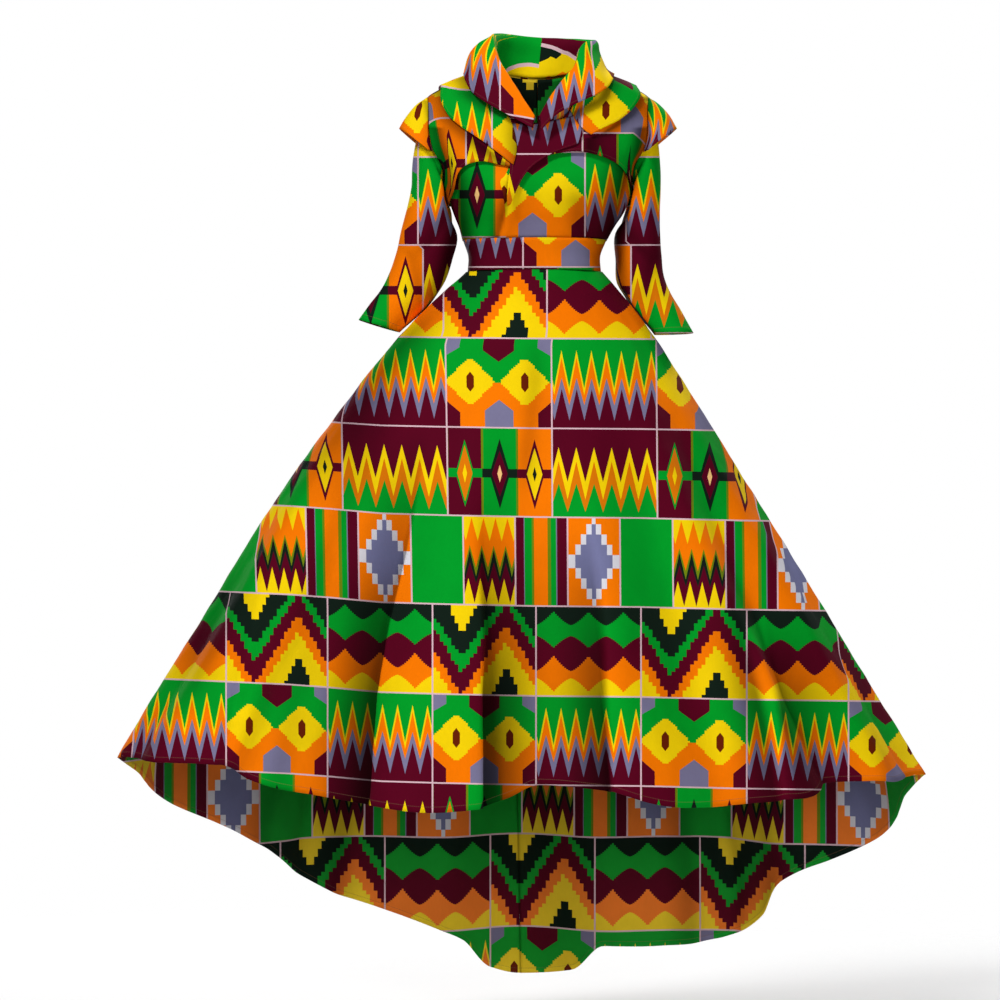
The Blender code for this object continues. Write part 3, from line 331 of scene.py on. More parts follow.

# Folds and creases as lines down the picture, on the front (-1), the back (1) or both (0) of a piece, with
# shade painted into the cloth's colour along them
CREASES = {
    # piece: (side, left width, right width, painted shade, ((x, y, height in millimetres), ...)), in points
    "skirt_front": (
        (-1, 7, 22, 0, ((428, 430, 0), (421, 500, 8), (412, 560, 14), (398, 630, 19), (390, 700, 22),
                        (384, 812, 24))),
        (-1, 42, 4, 0.93, ((424, 430, 0), (411, 500, -5), (402, 560, -8), (387, 615, -11), (377, 690, -13),
                           (370, 812, -14))),
        (-1, 20, 6, 0, ((470, 520, 0), (475, 580, 8), (477, 640, 15), (474, 700, 19), (474, 812, 21))),
        (-1, 4, 46, 0.9, ((482, 500, 0), (487, 580, -6), (491, 640, -10), (487, 700, -13), (488, 800, -14))),
        (-1, 5, 26, 0, ((594, 520, 0), (603, 580, 8), (608, 640, 14), (611, 700, 17), (617, 800, 19))),
        (-1, 36, 4, 0.84, ((585, 530, 0), (592, 590, -5), (598, 650, -8), (600, 700, -10), (608, 800, -11))),
        (-1, 6, 6, 0, ((748, 600, 0), (759, 661, 7), (770, 692, 9), (775, 723, 9), (786, 796, 9))),
        (-1, 28, 5, 0.68, ((731, 590, 0), (746, 650, -5), (757, 692, -7), (763, 723, -7), (774, 796, -6))),
        (-1, 5, 50, 0.62, ((768, 610, 0), (776, 661, -3), (784, 692, -4), (788, 723, -4), (800, 796, -3))),
        (-1, 54, 30, 0.55, ((436, 290, 0), (402, 330, -4), (368, 380, -4), (345, 440, -3), (330, 520, 0))),
        (-1, 20, 16, 0.4, ((672, 320, 0), (690, 350, -3), (712, 400, -3), (742, 470, -2), (766, 540, 0))),
        (-1, 8, 8, 0, ((285, 520, 0), (262, 600, 5), (240, 690, 8), (226, 770, 8))),
        (-1, 18, 26, 0.4, ((240, 540, 0), (210, 600, -4), (196, 650, -5), (186, 720, 0))),
        (-1, 16, 20, 0.25, ((330, 540, 0), (312, 620, -4), (292, 700, -6), (280, 780, -6))),
        (-1, 10, 10, 0.28, ((534, 330, 0), (536, 380, -2), (528, 450, -2), (522, 520, 0))),
        (-1, 14, 14, 0.25, ((845, 620, 0), (872, 700, -5), (898, 770, -7))),
    ),
    "skirt_back_left": (
        (1, 14, 18, 0.4, ((440, 380, 0), (400, 520, -7), (360, 660, -10), (330, 900, -11))),
        (1, 16, 12, 0.32, ((400, 400, 0), (340, 560, -6), (290, 700, -9), (250, 860, -10))),
        (1, 10, 9, 0, ((420, 400, 0), (374, 540, 6), (330, 680, 8), (300, 880, 8))),
    ),
    "skirt_back_right": (
        (1, 18, 14, 0.4, ((580, 380, 0), (622, 520, -7), (660, 660, -10), (690, 900, -11))),
        (1, 12, 16, 0.32, ((610, 400, 0), (690, 560, -6), (740, 700, -9), (780, 860, -10))),
        (1, 9, 10, 0, ((596, 400, 0), (656, 540, 6), (700, 680, 8), (732, 880, 8))),
    ),
    "bodice_front": (
        (0, 4, 12, 0.72, ((450, 150, -1), (458, 190, -1), (464, 240, -1))),
        (0, 16, 5, 0.72, ((630, 150, -1), (622, 190, -1), (610, 240, -1))),
        (-1, 8, 2, 0.58, ((514, 180, -1), (508, 200, -2), (497, 238, -2))),
        (-1, 2, 7, 0, ((520, 186, 1), (512, 205, 2), (502, 238, 2))),
        (-1, 12, 14, 0.28, ((572, 170, 0), (576, 200, -2), (584, 236, -2))),
    ),
    "waistband": (
        (0, 5, 12, 0.49, ((463, 236, -1), (466, 272, -1))),
        (0, 12, 5, 0.49, ((606, 236, -1), (602, 272, -1))),
    ),
    "sleeve_left": (
        (0, 8, 6, 0.67, ((444, 140, -1), (452, 190, -1), (457, 225, -1), (449, 260, -1), (436, 300, 0))),
        (-1, 12, 5, 0.34, ((452, 205, 0), (440, 228, -2), (428, 246, -2), (414, 262, 0))),
        (-1, 5, 10, 0.28, ((400, 238, 0), (412, 262, -2), (418, 290, -2), (420, 318, 0))),
    ),
    "sleeve_right": (
        (0, 6, 8, 0.67, ((634, 150, -1), (628, 190, -1), (613, 225, -1), (616, 260, -1), (628, 300, 0))),
        (-1, 5, 12, 0.34, ((616, 212, 0), (628, 234, -2), (642, 252, -2), (656, 266, 0))),
        (-1, 10, 5, 0.28, ((662, 240, 0), (652, 266, -2), (648, 292, -2), (650, 320, 0))),
    ),
    "bolero_left": (
        (0, 10, 8, 0.67, ((436, 128, -1), (444, 160, -1), (452, 200, -1))),
        (0, 16, 3, 0.67, ((441, 88, -1), (452, 120, -1), (478, 142, -1), (512, 169, -1))),
    ),
    "bolero_right": (
        (0, 8, 10, 0.72, ((642, 128, -1), (638, 160, -1), (630, 200, -1))),
        (0, 3, 16, 0.67, ((637, 96, -1), (627, 115, -1), (602, 135, -1), (588, 138, -1))),
    ),
    "collar_lower": (
        (-1, 14, 4, 0.64, ((463, 76, -1), (473, 96, -1), (496, 112, -1), (520, 119, -1))),
        (-1, 4, 14, 0.64, ((614, 76, -1), (602, 98, -1), (578, 110, -1), (551, 125, -1))),
    ),
    "cap_sleeve_left": ((0, 4, 8, 0.49, ((425, 100, -0.5), (430, 120, -0.5), (434, 150, -0.5))),),
    "cap_sleeve_right": ((0, 8, 4, 0.58, ((650, 98, -0.5), (648, 120, -0.5), (646, 150, -0.5))),),
}
SKIRT_PANELS = (
    # panel, from angle, to angle, columns, rings
    ("skirt_front", -90, 90, 390, 112), ("skirt_back_right", 90, 180, 170, 140),
    ("skirt_back_left", 180, 270, 170, 140),
)

# Inks
GREEN, MAROON, ORANGE, YELLOW, GREY, DARK, CREAM, BROWN, OLIVE, LINE, RUST, SLATE, PEACH = range(13)
INKS = (
    (0, 156, 40), (88, 4, 30), (250, 122, 0), (248, 212, 8), (124, 120, 152), (18, 32, 24),
    (222, 220, 228), (105, 32, 6), (112, 132, 16), (222, 186, 196), (222, 120, 6), (118, 120, 160),
    (250, 200, 128),
)

# The cloth's looks
THREAD = (0.16, 0.09, 0.05, 1)
STITCH_LINE = 0.88
WARP, WEFT = 340, 285
MOTTLE, SLUB = (24, 3), (320, 2, (1, 1, 0.22))
SEAM_SHADE, STITCH_SHADE = 0.3, 0.55
STITCH_WIDE, STITCH_LONG = 0.045, 0.34
SHADE, SHADE_MOTTLE, SHADE_SLUB = 0.90, 0.14, 0.08
ROUGH, ROUGH_MOTTLE, ROUGH_SLUB = 0.72, 0.08, 0.06
FOLD_WIDE, TURN_FROM, TURN_WIDE = 0.10, 0.96, 0.08
WEAVE_HIGH, SLUB_HIGH = 0.030, 0.16
FOLD_DEEP, TURN_DEEP, SEAM_DEEP = 0.30, 0.55, 1.2
BUMP = {"Strength": 0.55, "Distance": 0.0005}
SPECULAR = 0.03
# Painted shade on the wrong side of the skirt backs, darker higher up under the front hem; the wrong side of
# the other pieces is a little darker all over
INSIDE_FROM, INSIDE_WIDE = 5.7, 1.9
INSIDE_HIGH, INSIDE_MORE, INSIDE_BODICE = 0.48, 0.44, 0.8
INSIDE_SATURATION = 0.97

# Lights
WORLD_LIGHT = 0.12
FLOOR = -1.575
FLOOR_REACH = 3.4
FLOOR_SIDES = 64
FADE_FROM, FADE_TO = 0.52, 0.95
PAPER, PAPER_ROUGH = (0.93, 0.93, 0.935, 1), 0.9
LAMPS = (
    # name, place, aimed at, size, watts
    ("key", (-2.2, -3.6, 3.7), (0, 0, -0.6), (1.1, 1.1), 222),
    ("front", (1.4, -5.2, -0.35), (0, 0.2, -0.9), (1.3, 1), 82),
    ("above", (0, 0.6, 3.4), (0, 0, -0.6), (3.2, 2.6), 34),
    ("rear", (2.2, 4.2, 3.2), (0, 0, -0.6), (2.2, 1.8), 190),
    ("rear_low", (-1.8, 4.8, -0.2), (0, 0.1, -0.8), (1.3, 1), 70),
)


def soft_step(x):
    """0 below 0 and 1 above 1, with a smooth rise between."""
    x = min(max(x, 0.0), 1.0)
    return x * x * (3 - 2 * x)


def through(table, column):
    """A smooth curve without overshoot through one column of a table, by the first column."""
    rows = sorted(table)
    at, value = [row[0] for row in rows], [row[column] for row in rows]
    step = [b - a for a, b in zip(at, at[1:])]
    slope = [(b - a) / h for a, b, h in zip(value, value[1:], step)]
    lean = [slope[0]]
    for i in range(1, len(slope)):
        before, after = slope[i - 1], slope[i]
        first, second = 2 * step[i] + step[i - 1], step[i] + 2 * step[i - 1]
        turns = before * after <= 0
        lean.append(0.0 if turns else (first + second) / (first / before + second / after))
    lean.append(slope[-1])

    def value_at(x):
        x = min(max(x, at[0]), at[-1])
        i = bisect_left(at, x, 1, len(step)) - 1
        t = (x - at[i]) / step[i]
        left = (1 + 2 * t) * (1 - t) ** 2 * value[i] + t * (1 - t) ** 2 * step[i] * lean[i]
        right = t * t * (3 - 2 * t) * value[i + 1] + t * t * (t - 1) * step[i] * lean[i + 1]
        return left + right

    return value_at


def path(points):
    """A smooth line through points, by the share of its length from 0 to 1."""
    length = [0.0]
    for a, b in zip(points, points[1:]):
        length.append(length[-1] + math.dist(a, b))
    table = [(d / length[-1], *p) for d, p in zip(length, points)]
    axes = [through(table, 1 + k) for k in range(len(points[0]))]
    return lambda t: tuple(axis(t) for axis in axes)


def shares(count, low=0.0, high=1.0):
    """Evenly spaced numbers from low to high."""
    return [low + (high - low) * i / count for i in range(count + 1)]


torso_middle, torso_half, torso_front, torso_back = (through(TORSO, k) for k in (1, 2, 3, 4))
skirt_middle, skirt_half, skirt_front, skirt_back = (through(SKIRT, k) for k in (1, 2, 3, 4))
hem_height = through(HEM, 1)
flute_hollow = through(FLUTES, 1)
flute_depth = through(FLUTE_DEPTH, 1)


def cup(x, z):
    """How far the two cups stand out from the chest."""
    rise = 0.0
    for middle in CUPS:
        rise += math.exp(-((x - middle) / CUP_WIDTH) ** 2 - ((z - CUP_HEIGHT) / CUP_TALL) ** 2)
    return CUP_RISE * rise


def depth_of(x, z, behind):
    """The torso's depth on its middle line, in front with the cups."""
    return torso_back(z) if behind else torso_front(z) + cup(x, z)


def on_torso(x, z, behind=False):
    """The torso's point at a width and height."""
    share = min(abs(x - torso_middle(z)) / torso_half(z), 1.0)
    x = torso_middle(z) + math.copysign(share * torso_half(z), x - torso_middle(z))
    deep = depth_of(x, z, behind) * (1 - share ** SQUARE) ** (1 / SQUARE)
    return Vector((x, deep if behind else -deep, z))


def fill(p):
    """Below 1 inside the worn torso, above 1 outside it."""
    across = abs(p.x - torso_middle(p.z)) / torso_half(p.z)
    deep = abs(p.y) / depth_of(p.x, p.z, p.y > 0)
    return across ** SQUARE + deep ** SQUARE


def outward(p):
    """The direction straight out of the torso."""
    steps = (Vector((PROBE, 0, 0)), Vector((0, PROBE, 0)), Vector((0, 0, PROBE)))
    return Vector([fill(p + s) - fill(p - s) for s in steps]).normalized()


def aim(p):
    """The angle from the front and the rise of a point, seen from the chest's middle."""
    d = p - CHEST
    return math.atan2(d.x, -d.y), math.atan2(d.z, math.hypot(d.x, d.y))


def reach(angle, rise):
    """The torso's point in a direction from the chest's middle."""
    d = Vector((math.sin(angle) * math.cos(rise), -math.cos(angle) * math.cos(rise), math.sin(rise)))
    low, high = NEAREST, FURTHEST
    for _ in range(HALVINGS):
        half = (low + high) / 2
        if fill(CHEST + d * half) < 1:
            low = half
        else:
            high = half
    return CHEST + d * low


def directions(points, behind=False):
    """Points as directions from the chest's middle, the angle growing past the back without a jump."""
    found = []
    for p in points:
        angle, rise = aim(p)
        if behind and angle < 0:
            angle += 2 * math.pi
        if found:
            angle -= 2 * math.pi * round((angle - found[-1][0]) / (2 * math.pi))
        found.append((angle, rise))
    return found


def aimed(points, behind=False):
    """Width and height points as directions."""
    return directions([on_torso(x, z, behind) for x, z in points], behind)


def mirror(points):
    """The same seam on the other side."""
    return tuple((-x, z) for x, z in points)


def across_back(points):
    """A seam on the right, carried on across the back to the left, as directions."""
    return aimed(points + mirror(points)[-2::-1], True)


def once_round(directed):
    """The same directions, their angles counted once round."""
    return [(angle + 2 * math.pi, rise) for angle, rise in directed]


def progress(line, t):
    """How far a line has come at t, measured straight from its start to its end."""
    start, here, end = line(0), line(t), line(1)
    whole = [e - s for s, e in zip(start, end)]
    return sum(w * (h - s) for w, h, s in zip(whole, here, start)) / sum(w * w for w in whole)


def patch(low, high, left, right, columns, steps, lift):
    """A panel on the torso between four lines of directions, as rows from low to high."""
    rows = []
    for t in shares(steps):
        row = []
        a, b = progress(left, t), progress(right, t)
        for s in shares(columns):
            c = (1 - s) * a + s * b
            place = []
            for k in (0, 1):
                between = (1 - c) * low(s)[k] + c * high(s)[k]
                bow_left = left(t)[k] - (1 - a) * left(0)[k] - a * left(1)[k]
                bow_right = right(t)[k] - (1 - b) * right(0)[k] - b * right(1)[k]
                place.append(between + (1 - s) * bow_left + s * bow_right)
            p = reach(*place)
            row.append(p + outward(p) * (lift(p) if callable(lift) else lift))
        rows.append(row)
    return rows


def pull(rows, left=0.0, right=0.0, low=0.0, high=0.0, wide_from=None):
    """Moves the edges of a grid of points inwards by these lengths, wider along the shoulder.
    The highest row can have a length for each column."""
    tops = high if isinstance(high, list) else [high] * len(rows[0])
    moved = [[p.copy() for p in row] for row in rows]
    for i, row in enumerate(rows):
        more = SHOULDER_PULL if wide_from is not None and i >= wide_from else 1.0
        moved[i][0] += (row[1] - row[0]).normalized() * left * more
        moved[i][-1] += (row[-2] - row[-1]).normalized() * right * more
    for j, top in enumerate(tops):
        moved[0][j] += (rows[1][j] - rows[0][j]).normalized() * low
        moved[-1][j] += (rows[-2][j] - rows[-1][j]).normalized() * top
    return moved


def clear_of_body(p, share=1.0):
    """The point moved straight out of the torso and skirt until it is clear of them."""
    if p.z > WAIST_SEAM:
        middle, half, square = torso_middle(p.z), torso_half(p.z), SQUARE
        deep = depth_of(p.x, p.z, p.y > 0)
    else:
        middle, half, square = skirt_middle(p.z), skirt_half(p.z), 2.0
        deep = skirt_back(p.z) if p.y > 0 else skirt_front(p.z)
    away = SLEEVE_CLEAR * share * (CLEAR_LOW + CLEAR_MORE * soft_step((p.z - CLEAR_FROM) / CLEAR_FADE))
    half += away
    deep += away
    full = (abs(p.x - middle) / half) ** square + (abs(p.y) / deep) ** square
    if full >= 1:
        return p
    grow = full ** (-1 / square)
    return Vector((middle + (p.x - middle) * grow, p.y * grow, p.z))


def lengths(grid, axis):
    """The lengths of a grid's steps along an axis."""
    return np.linalg.norm(np.diff(grid, axis=axis), axis=-1)


def around(values, closed):
    """A grid's values, with the first column once more behind the last where it is a ring."""
    return np.concatenate([values, values[:, :1]], axis=1) if closed else values


def corners(values):
    """The values at the four corners of every face, from its lower left one."""
    return np.stack([values[:-1, :-1], values[:-1, 1:], values[1:, 1:], values[1:, :-1]], 2)


def straight(value, table, column=1):
    """One column of a table by its first column, straight between the rows."""
    return np.interp(value, [row[0] for row in table], [row[column] for row in table])


def finer(grid, axis, closed=False, breaks=()):
    """A grid of points with more steps along an axis, on smooth curves."""
    points = np.moveaxis(grid, axis, 0)
    if closed:
        points = np.concatenate([points[-1:], points, points[:2]])
    step = points[1:] - points[:-1]
    length = np.maximum(np.linalg.norm(step, axis=-1, keepdims=True), 1e-7)
    slope = step / length
    lean = np.empty_like(points)
    lean[0], lean[-1] = slope[0], slope[-1]
    before, after = length[:-1], length[1:]
    lean[1:-1] = (slope[:-1] * after + slope[1:] * before) / (before + after)
    made = []
    first, last = (1, len(points) - 2) if closed else (0, len(points) - 1)
    for i in range(first, last):
        start = slope[i] if i in breaks else lean[i]
        end = slope[i] if i + 1 in breaks else lean[i + 1]
        for t in shares(FINE)[:-1]:
            made.append((1 + 2 * t) * (1 - t) ** 2 * points[i] + t * (1 - t) ** 2 * length[i] * start
                        + t * t * (3 - 2 * t) * points[i + 1] + t * t * (t - 1) * length[i] * end)
    if not closed:
        made.append(points[last])
    return np.moveaxis(np.array(made), 0, axis)


def seen(grid):
    """Where the camera sees points, in picture points."""
    size = POINT * (1 + grid[..., 1] / DISTANCE)
    return PICTURE / 2 + (grid[..., 0] - VIEW_X) / size, PICTURE / 2 - (grid[..., 2] - VIEW_Z) / size


def spread_out(value, grid, axis, anchor, share=LEAST_STRETCH, even=0.0):
    """A picture coordinate of a grid, kept from shrinking where the cloth turns away."""
    value = np.moveaxis(value, axis, 0)
    change = np.diff(value, axis=0)
    at = round(anchor * (len(value) - 1))
    way = 1.0 if change[max(at - 3, 0):at + 3].sum() >= 0 else -1.0
    length = lengths(np.moveaxis(grid, axis, 0), 0)
    length = length + even * (length.mean(axis=1, keepdims=True) - length)
    change = way * np.maximum(way * change, share * length / POINT)
    total = np.concatenate([np.zeros_like(value[:1]), np.cumsum(change, axis=0)])
    return np.moveaxis(total - total[at] + value[at], 0, axis)


def level(line, hidden, anchor):
    """What brings a row of the print back to its line along a piece, where that piece is hidden."""
    at = round(anchor * (len(line) - 1))
    held = np.concatenate([[0.0], np.cumsum(np.diff(line) * (1 - hidden))])
    return held - held[at] + line[at] - line


def lay_print(name, grid, plain=None):
    """Print coordinates (blocks across, rows up) at both ends of every step along the rows. A fluted
    panel is printed as it is seen in the middle, and towards its sides by its plain form."""
    count = grid.shape[1] - 1
    laid = np.zeros((len(grid), count, 2, 2))
    for start, end, anchor, x, y, block, row in LAY[name]:
        a, b = round(start * count), round(end * count)
        part = grid[:, a:b + 1]
        u, v = seen(part)
        spot = u
        inside = (anchor - start) / (end - start)
        if plain is None:
            hidden = np.clip(0.5 + BACK_RATE * grid_normals(part, False)[:, 1:, 1], 0, 1)
            hidden = hidden * name.startswith(BACK_PIECES)
            front = BOLERO_STRETCH if name in ("bolero_left", "bolero_right") else LEAST_STRETCH
            share = front + (BACK_STRETCH - front) * hidden
            u = spread_out(u, part, 1, inside, share.T, hidden.T)
        else:
            smooth = seen(plain)[0]
            turned = np.abs(np.arctan2(plain[..., 0] - SKIRT_MIDDLE, np.abs(plain[..., 1]) * SKIRT_ROUND))
            side = np.clip((turned - SIDE_FROM) / SIDE_WIDE, 0, 1)
            least = SIDE_STRETCH if name == "skirt_front" else LEAST_STRETCH
            u = (1 - side) * u + side * smooth + spread_out(smooth, plain, 1, inside, least) - smooth
        if name == "skirt_front":
            u = u - straight(v, SHIFT_SHARE) * straight(spot, ROW_TILT, 2)
            v = straight(v - straight(v, TILT_SHARE) * straight(spot, ROW_TILT), SKIRT_ROWS)
        elif name.startswith("skirt"):
            v = straight(part[..., 2], BACK_ROWS)
        else:
            if name.startswith(("collar", "bolero", "cap")):
                v = spread_out(v, part, 0, ROW_ANCHOR)
            if name.startswith("collar"):
                v = v + level(v[round(ROW_ANCHOR * (len(v) - 1))], hidden.mean(axis=0), inside)
            v = row + (v - y) / ROW
            if name.startswith("sleeve"):
                u = u - np.where(v > 1, SLEEVE_STEP, 0)
        u = block + (u - x) / BLOCK + (0 if name.startswith("skirt") else OFF_SKIRT)
        ends = np.stack([u, -v], -1)
        laid[:, a:b] = np.stack([ends[:, :-1], ends[:, 1:]], 2)
    return laid


def for_piece(table, name, other=None):
    """A table's value for a piece, by the first key that its name starts with."""
    return next((value for key, value in table.items() if name.startswith(key)), other)


def to_hem(name, grid, closed):
    """For every point, the length along the nearest hem, the distance from it and from a seam."""
    right, up = np.zeros((2, *grid.shape[:2]))
    right[:, 1:] = np.cumsum(lengths(grid, 1), axis=1)
    up[1:] = np.cumsum(lengths(grid, 0), axis=0)
    sides = {"low": up, "high": up[-1:] - up, "left": right, "right": right[:, -1:] - right}
    hems = for_piece(HEMS, name, "low").split()
    along = np.zeros_like(up)
    away = seam = np.full_like(up, FAR)
    for side in ("low", "high") if closed else sides:
        if side not in hems:
            seam = np.minimum(seam, sides[side])
    for side in hems:
        nearer = sides[side] < away
        away = np.where(nearer, sides[side], away)
        along = np.where(nearer, right if side in ("low", "high") else up, along)
    return along / STITCH, away / for_piece(HEM_DEPTH, name, USUAL_HEM), seam / SEAM_SHOWN


def grid_normals(grid, closed):
    """Unit normals of a grid, outwards."""
    right = np.gradient(grid, axis=1)
    if closed:
        wide = np.concatenate([grid[:, -1:], grid, grid[:, :1]], axis=1)
        right = (wide[:, 2:] - wide[:, :-2]) / 2
    normal = np.cross(right, np.gradient(grid, axis=0))
    return normal / np.maximum(np.linalg.norm(normal, axis=-1, keepdims=True), 1e-12)


def crease(name, grid, normal):
    """The heights of the folds and creases that cross a piece, and the shade painted into the cloth's colour
    in their hollows and along them.
    """
    height = np.zeros(grid.shape[:2])
    painted_shade = np.ones(grid.shape[:2])
    u, v = seen(grid)
    for side, left, right, shade, line in CREASES.get(name, ()):
        xs, ys, rise = np.array(line, dtype=float).T
        near = u - np.interp(v, ys, xs)
        wide = np.where(near < 0, left, right)
        tall = np.interp(v, ys, rise, left=0, right=rise[-1])
        facing = np.clip(side * normal[..., 1] / CREASE_TURN, 0, 1) if side else 1.0
        across = facing * np.exp(-(near / wide) ** 2)
        height += tall / 1000 * across
        # painted shade: every line darkens the cloth's colour beside it, most where its fold is highest or
        # deepest
        painted_shade *= 1 - shade * across * np.abs(tall) / max(np.abs(rise).max(), 1e-6)
    return height, painted_shade


def ripple(grid, height):
    """A slight unevenness of the cloth."""
    value = [noise.noise(Vector(p)) for p in grid.reshape(-1, 3) * RIPPLE]
    return height * np.array(value).reshape(grid.shape[:2])


def placed(name, data):
    """A new object in the scene."""
    thing = bpy.data.objects.new(name, data)
    bpy.context.scene.collection.objects.link(thing)
    return thing


def build(name, grid, closed=False, uneven=UNEVEN, plain=None):
    """One thin piece of cloth from a fine grid of its outer side."""
    normal = grid_normals(grid, closed)
    lift, painted_shade = crease(name, grid, normal)
    grid = grid + normal * (lift + ripple(grid, uneven))[..., None]
    full = around(grid, closed)
    number = around(np.arange(painted_shade.size).reshape(painted_shade.shape), closed)
    laid = lay_print(name, full, plain)
    along, away, seam = to_hem(name, full, closed)
    maps = {
        "print": np.stack([laid[:-1, :, 0], laid[:-1, :, 1], laid[1:, :, 1], laid[1:, :, 0]], 2),
        "hem": corners(np.stack([along, away], -1)),
        # the shade painted along folds and creases, and the distance from a seam
        "painted_shade": corners(np.stack([around(painted_shade, closed), seam], -1)),
    }
    mesh = bpy.data.meshes.new(name + "_cloth")
    mesh.from_pydata(grid.reshape(-1, 3).tolist(), [], corners(number).reshape(-1, 4).tolist())
    for layer, values in maps.items():
        mesh.uv_layers.new(name=layer).data.foreach_set("uv", values.astype(np.float32).ravel())
    mesh.shade_smooth()
    mesh.materials.append(outside)
    mesh.materials.append(inside)
    piece = placed(name + "_cloth", mesh)
    shell = piece.modifiers.new("thin", "SOLIDIFY")
    shell.thickness = THIN
    shell.offset = -1
    shell.use_rim = True
    shell.material_offset = 1
    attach(piece, "root")
    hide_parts(name)
    cross = np.cross(full[1:, 1:] - full[:-1, :-1], full[1:, :-1] - full[:-1, 1:])
    area = float(np.linalg.norm(cross, axis=-1).sum() / 2)
    flat = (float(lengths(full, 1).sum(1).max()), float(lengths(full, 0).sum(0).max()))
    share = area / (flat[0] * flat[1])
    if not LEAST_AREA < share < 1:
        # a curved panel's cut fits in a smaller or larger rectangle than its longest row and column
        flat = tuple(side * math.sqrt(share / USUAL_AREA) for side in flat)
        share = USUAL_AREA


def points_of(rows):
    """Rows of points as one array."""
    return np.array([[tuple(p) for p in row] for row in rows])


def cloth(name, rows, closed=False, breaks=()):
    """One sewn panel: rows of points from low to high, seen left to right from outside."""
    build(name, finer(finer(points_of(rows), 1, closed, breaks), 0), closed)


def ring_row(z, columns, start, end):
    """A level row of points on the torso between two angles round its section."""
    row = []
    for angle in shares(columns, start, end):
        across, front = math.sin(math.radians(angle)), math.cos(math.radians(angle))
        x = torso_middle(z) + torso_half(z) * math.copysign(abs(across) ** (2 / SQUARE), across)
        y = depth_of(x, z, front < 0) * abs(front) ** (2 / SQUARE)
        row.append(Vector((x, y if front < 0 else -y, z)))
    return row


def line_of(points):
    """A line of directions that passes each of these points on the torso at its own column."""
    found = directions(points)
    return lambda s: found[round(s * (len(found) - 1))]


def rising(armhole, side, behind):
    """The line up an armhole and on along the shoulder, with a set number of steps in each."""
    points = []
    for seam, steps in ((armhole, RINGS_ARM), (SHOULDER, RINGS_SHOULDER)):
        line = path(aimed(side(seam), behind))
        points += [line(t) for t in shares(steps)][1 if points else 0:]
    count = len(points) - 1

    def at(t):
        place = t * count
        i = min(int(place + 1e-9), count - 1)
        return tuple(p + (q - p) * (place - i) for p, q in zip(points[i], points[i + 1]))

    return at


def under_bolero(p):
    """The bodice lies a little deeper where the overlay hides it, from further down behind."""
    start = HIDDEN_FROM - HIDDEN_BEHIND * soft_step(p.y / HIDDEN_TURN)
    return HIDDEN_DROP * min(max((p.z - start) / HIDDEN_FADE, 0.0), 1.0)


def bodice():
    """The front and the two backs, and the points of the left and the right armhole."""
    grids = []
    neck_front = aimed(mirror(NECK_FRONT) + NECK_FRONT[-2::-1])
    for behind, neck in ((False, neck_front), (True, across_back(NECK_BACK))):
        start = 90 if behind else -90
        low = [ring_row(z, 2 * HALF_COLUMNS, start, start + 180)
               for z in shares(RINGS_LOW, WAIST_TOP, UNDERARM)]
        edges = [rising(ARMHOLE, side, behind) for side in ((tuple, mirror) if behind else (mirror, tuple))]
        upper = patch(line_of(low[-1]), path(neck), *edges, 2 * HALF_COLUMNS, RINGS_ARM + RINGS_SHOULDER,
                      under_bolero)
        low = [[p + outward(p) * under_bolero(p) for p in row] for row in low]
        grids.append(low + upper[1:])
    front, back = grids
    top = RINGS_LOW + RINGS_ARM
    for name, grid, columns in (("bodice_front", front, slice(None)),
                                ("bodice_back_right", back, slice(HALF_COLUMNS + 1)),
                                ("bodice_back_left", back, slice(HALF_COLUMNS, None))):
        cloth(name, pull([row[columns] for row in grid], EDGE, EDGE, EDGE, NECK_INSET, top))

    def hole(grid, column, inner):
        return [(row[column], row[inner]) for row in grid[RINGS_LOW:top + 1]]

    return (hole(front, 0, 1), hole(back, -1, -2)), (hole(front, -1, -2), hole(back, 0, 1))


def waistband():
    """One strip round the waist, its ends together at the centre back."""
    rows = [ring_row(z, 4 * HALF_COLUMNS, -180, 180) for z in shares(2, WAIST_SEAM, WAIST_TOP)]
    cloth("waistband", pull(rows, EDGE, EDGE, EDGE, EDGE))


def arm_ring(row, side, count):
    """One ring round the arm, from its inner side, anticlockwise seen from above."""
    x, y, z, half_width, half_depth, tilt = row
    out = Vector((side * math.cos(math.radians(tilt)), 0, math.sin(math.radians(tilt))))
    ring = []
    for j in range(count):
        turn = 2 * math.pi * j / count
        across = out * (-math.cos(turn) * half_width)
        deep = -side * math.sin(turn) * half_depth
        ring.append(clear_of_body(Vector((x, y, z)) + across + Vector((0, deep, 0))))
    return ring


def sleeve(name, side, table, hole):
    """A sleeve from its armhole over the shoulder's end and down the bent arm."""
    first, second = hole[::side]
    start = []
    for edge, inner in first + second[-2:0:-1]:
        start.append(edge + (edge - inner).normalized() * SLEEVE_START + Vector((side * SLEEVE_OUT, 0, 0)))
    count = len(start)
    arm = [arm_ring(row, side, count) for row in table]
    head = []
    for t in shares(HEAD_RINGS)[:-1]:
        ring = []
        for j in range(count):
            low = (1 + math.cos(2 * math.pi * j / count)) / 2
            a, d = start[j], arm[0][j]
            span = (d - a).length
            away = Vector((side * (HEAD_OUT + HEAD_OUT_LOW * low), 0, -HEAD_DOWN * (1 - low))).normalized()
            b = a + away * span * HEAD_BOWS[0]
            c = d + UP * span * HEAD_BOWS[1]
            p = a * (1 - t) ** 3 + b * (3 * t * (1 - t) ** 2) + c * (3 * t * t * (1 - t)) + d * t ** 3
            ring.append(clear_of_body(p, t) if p.z < SIDE_TOP else p)
        head.append(ring)
    cloth(name, (head + arm)[::-1], closed=True)


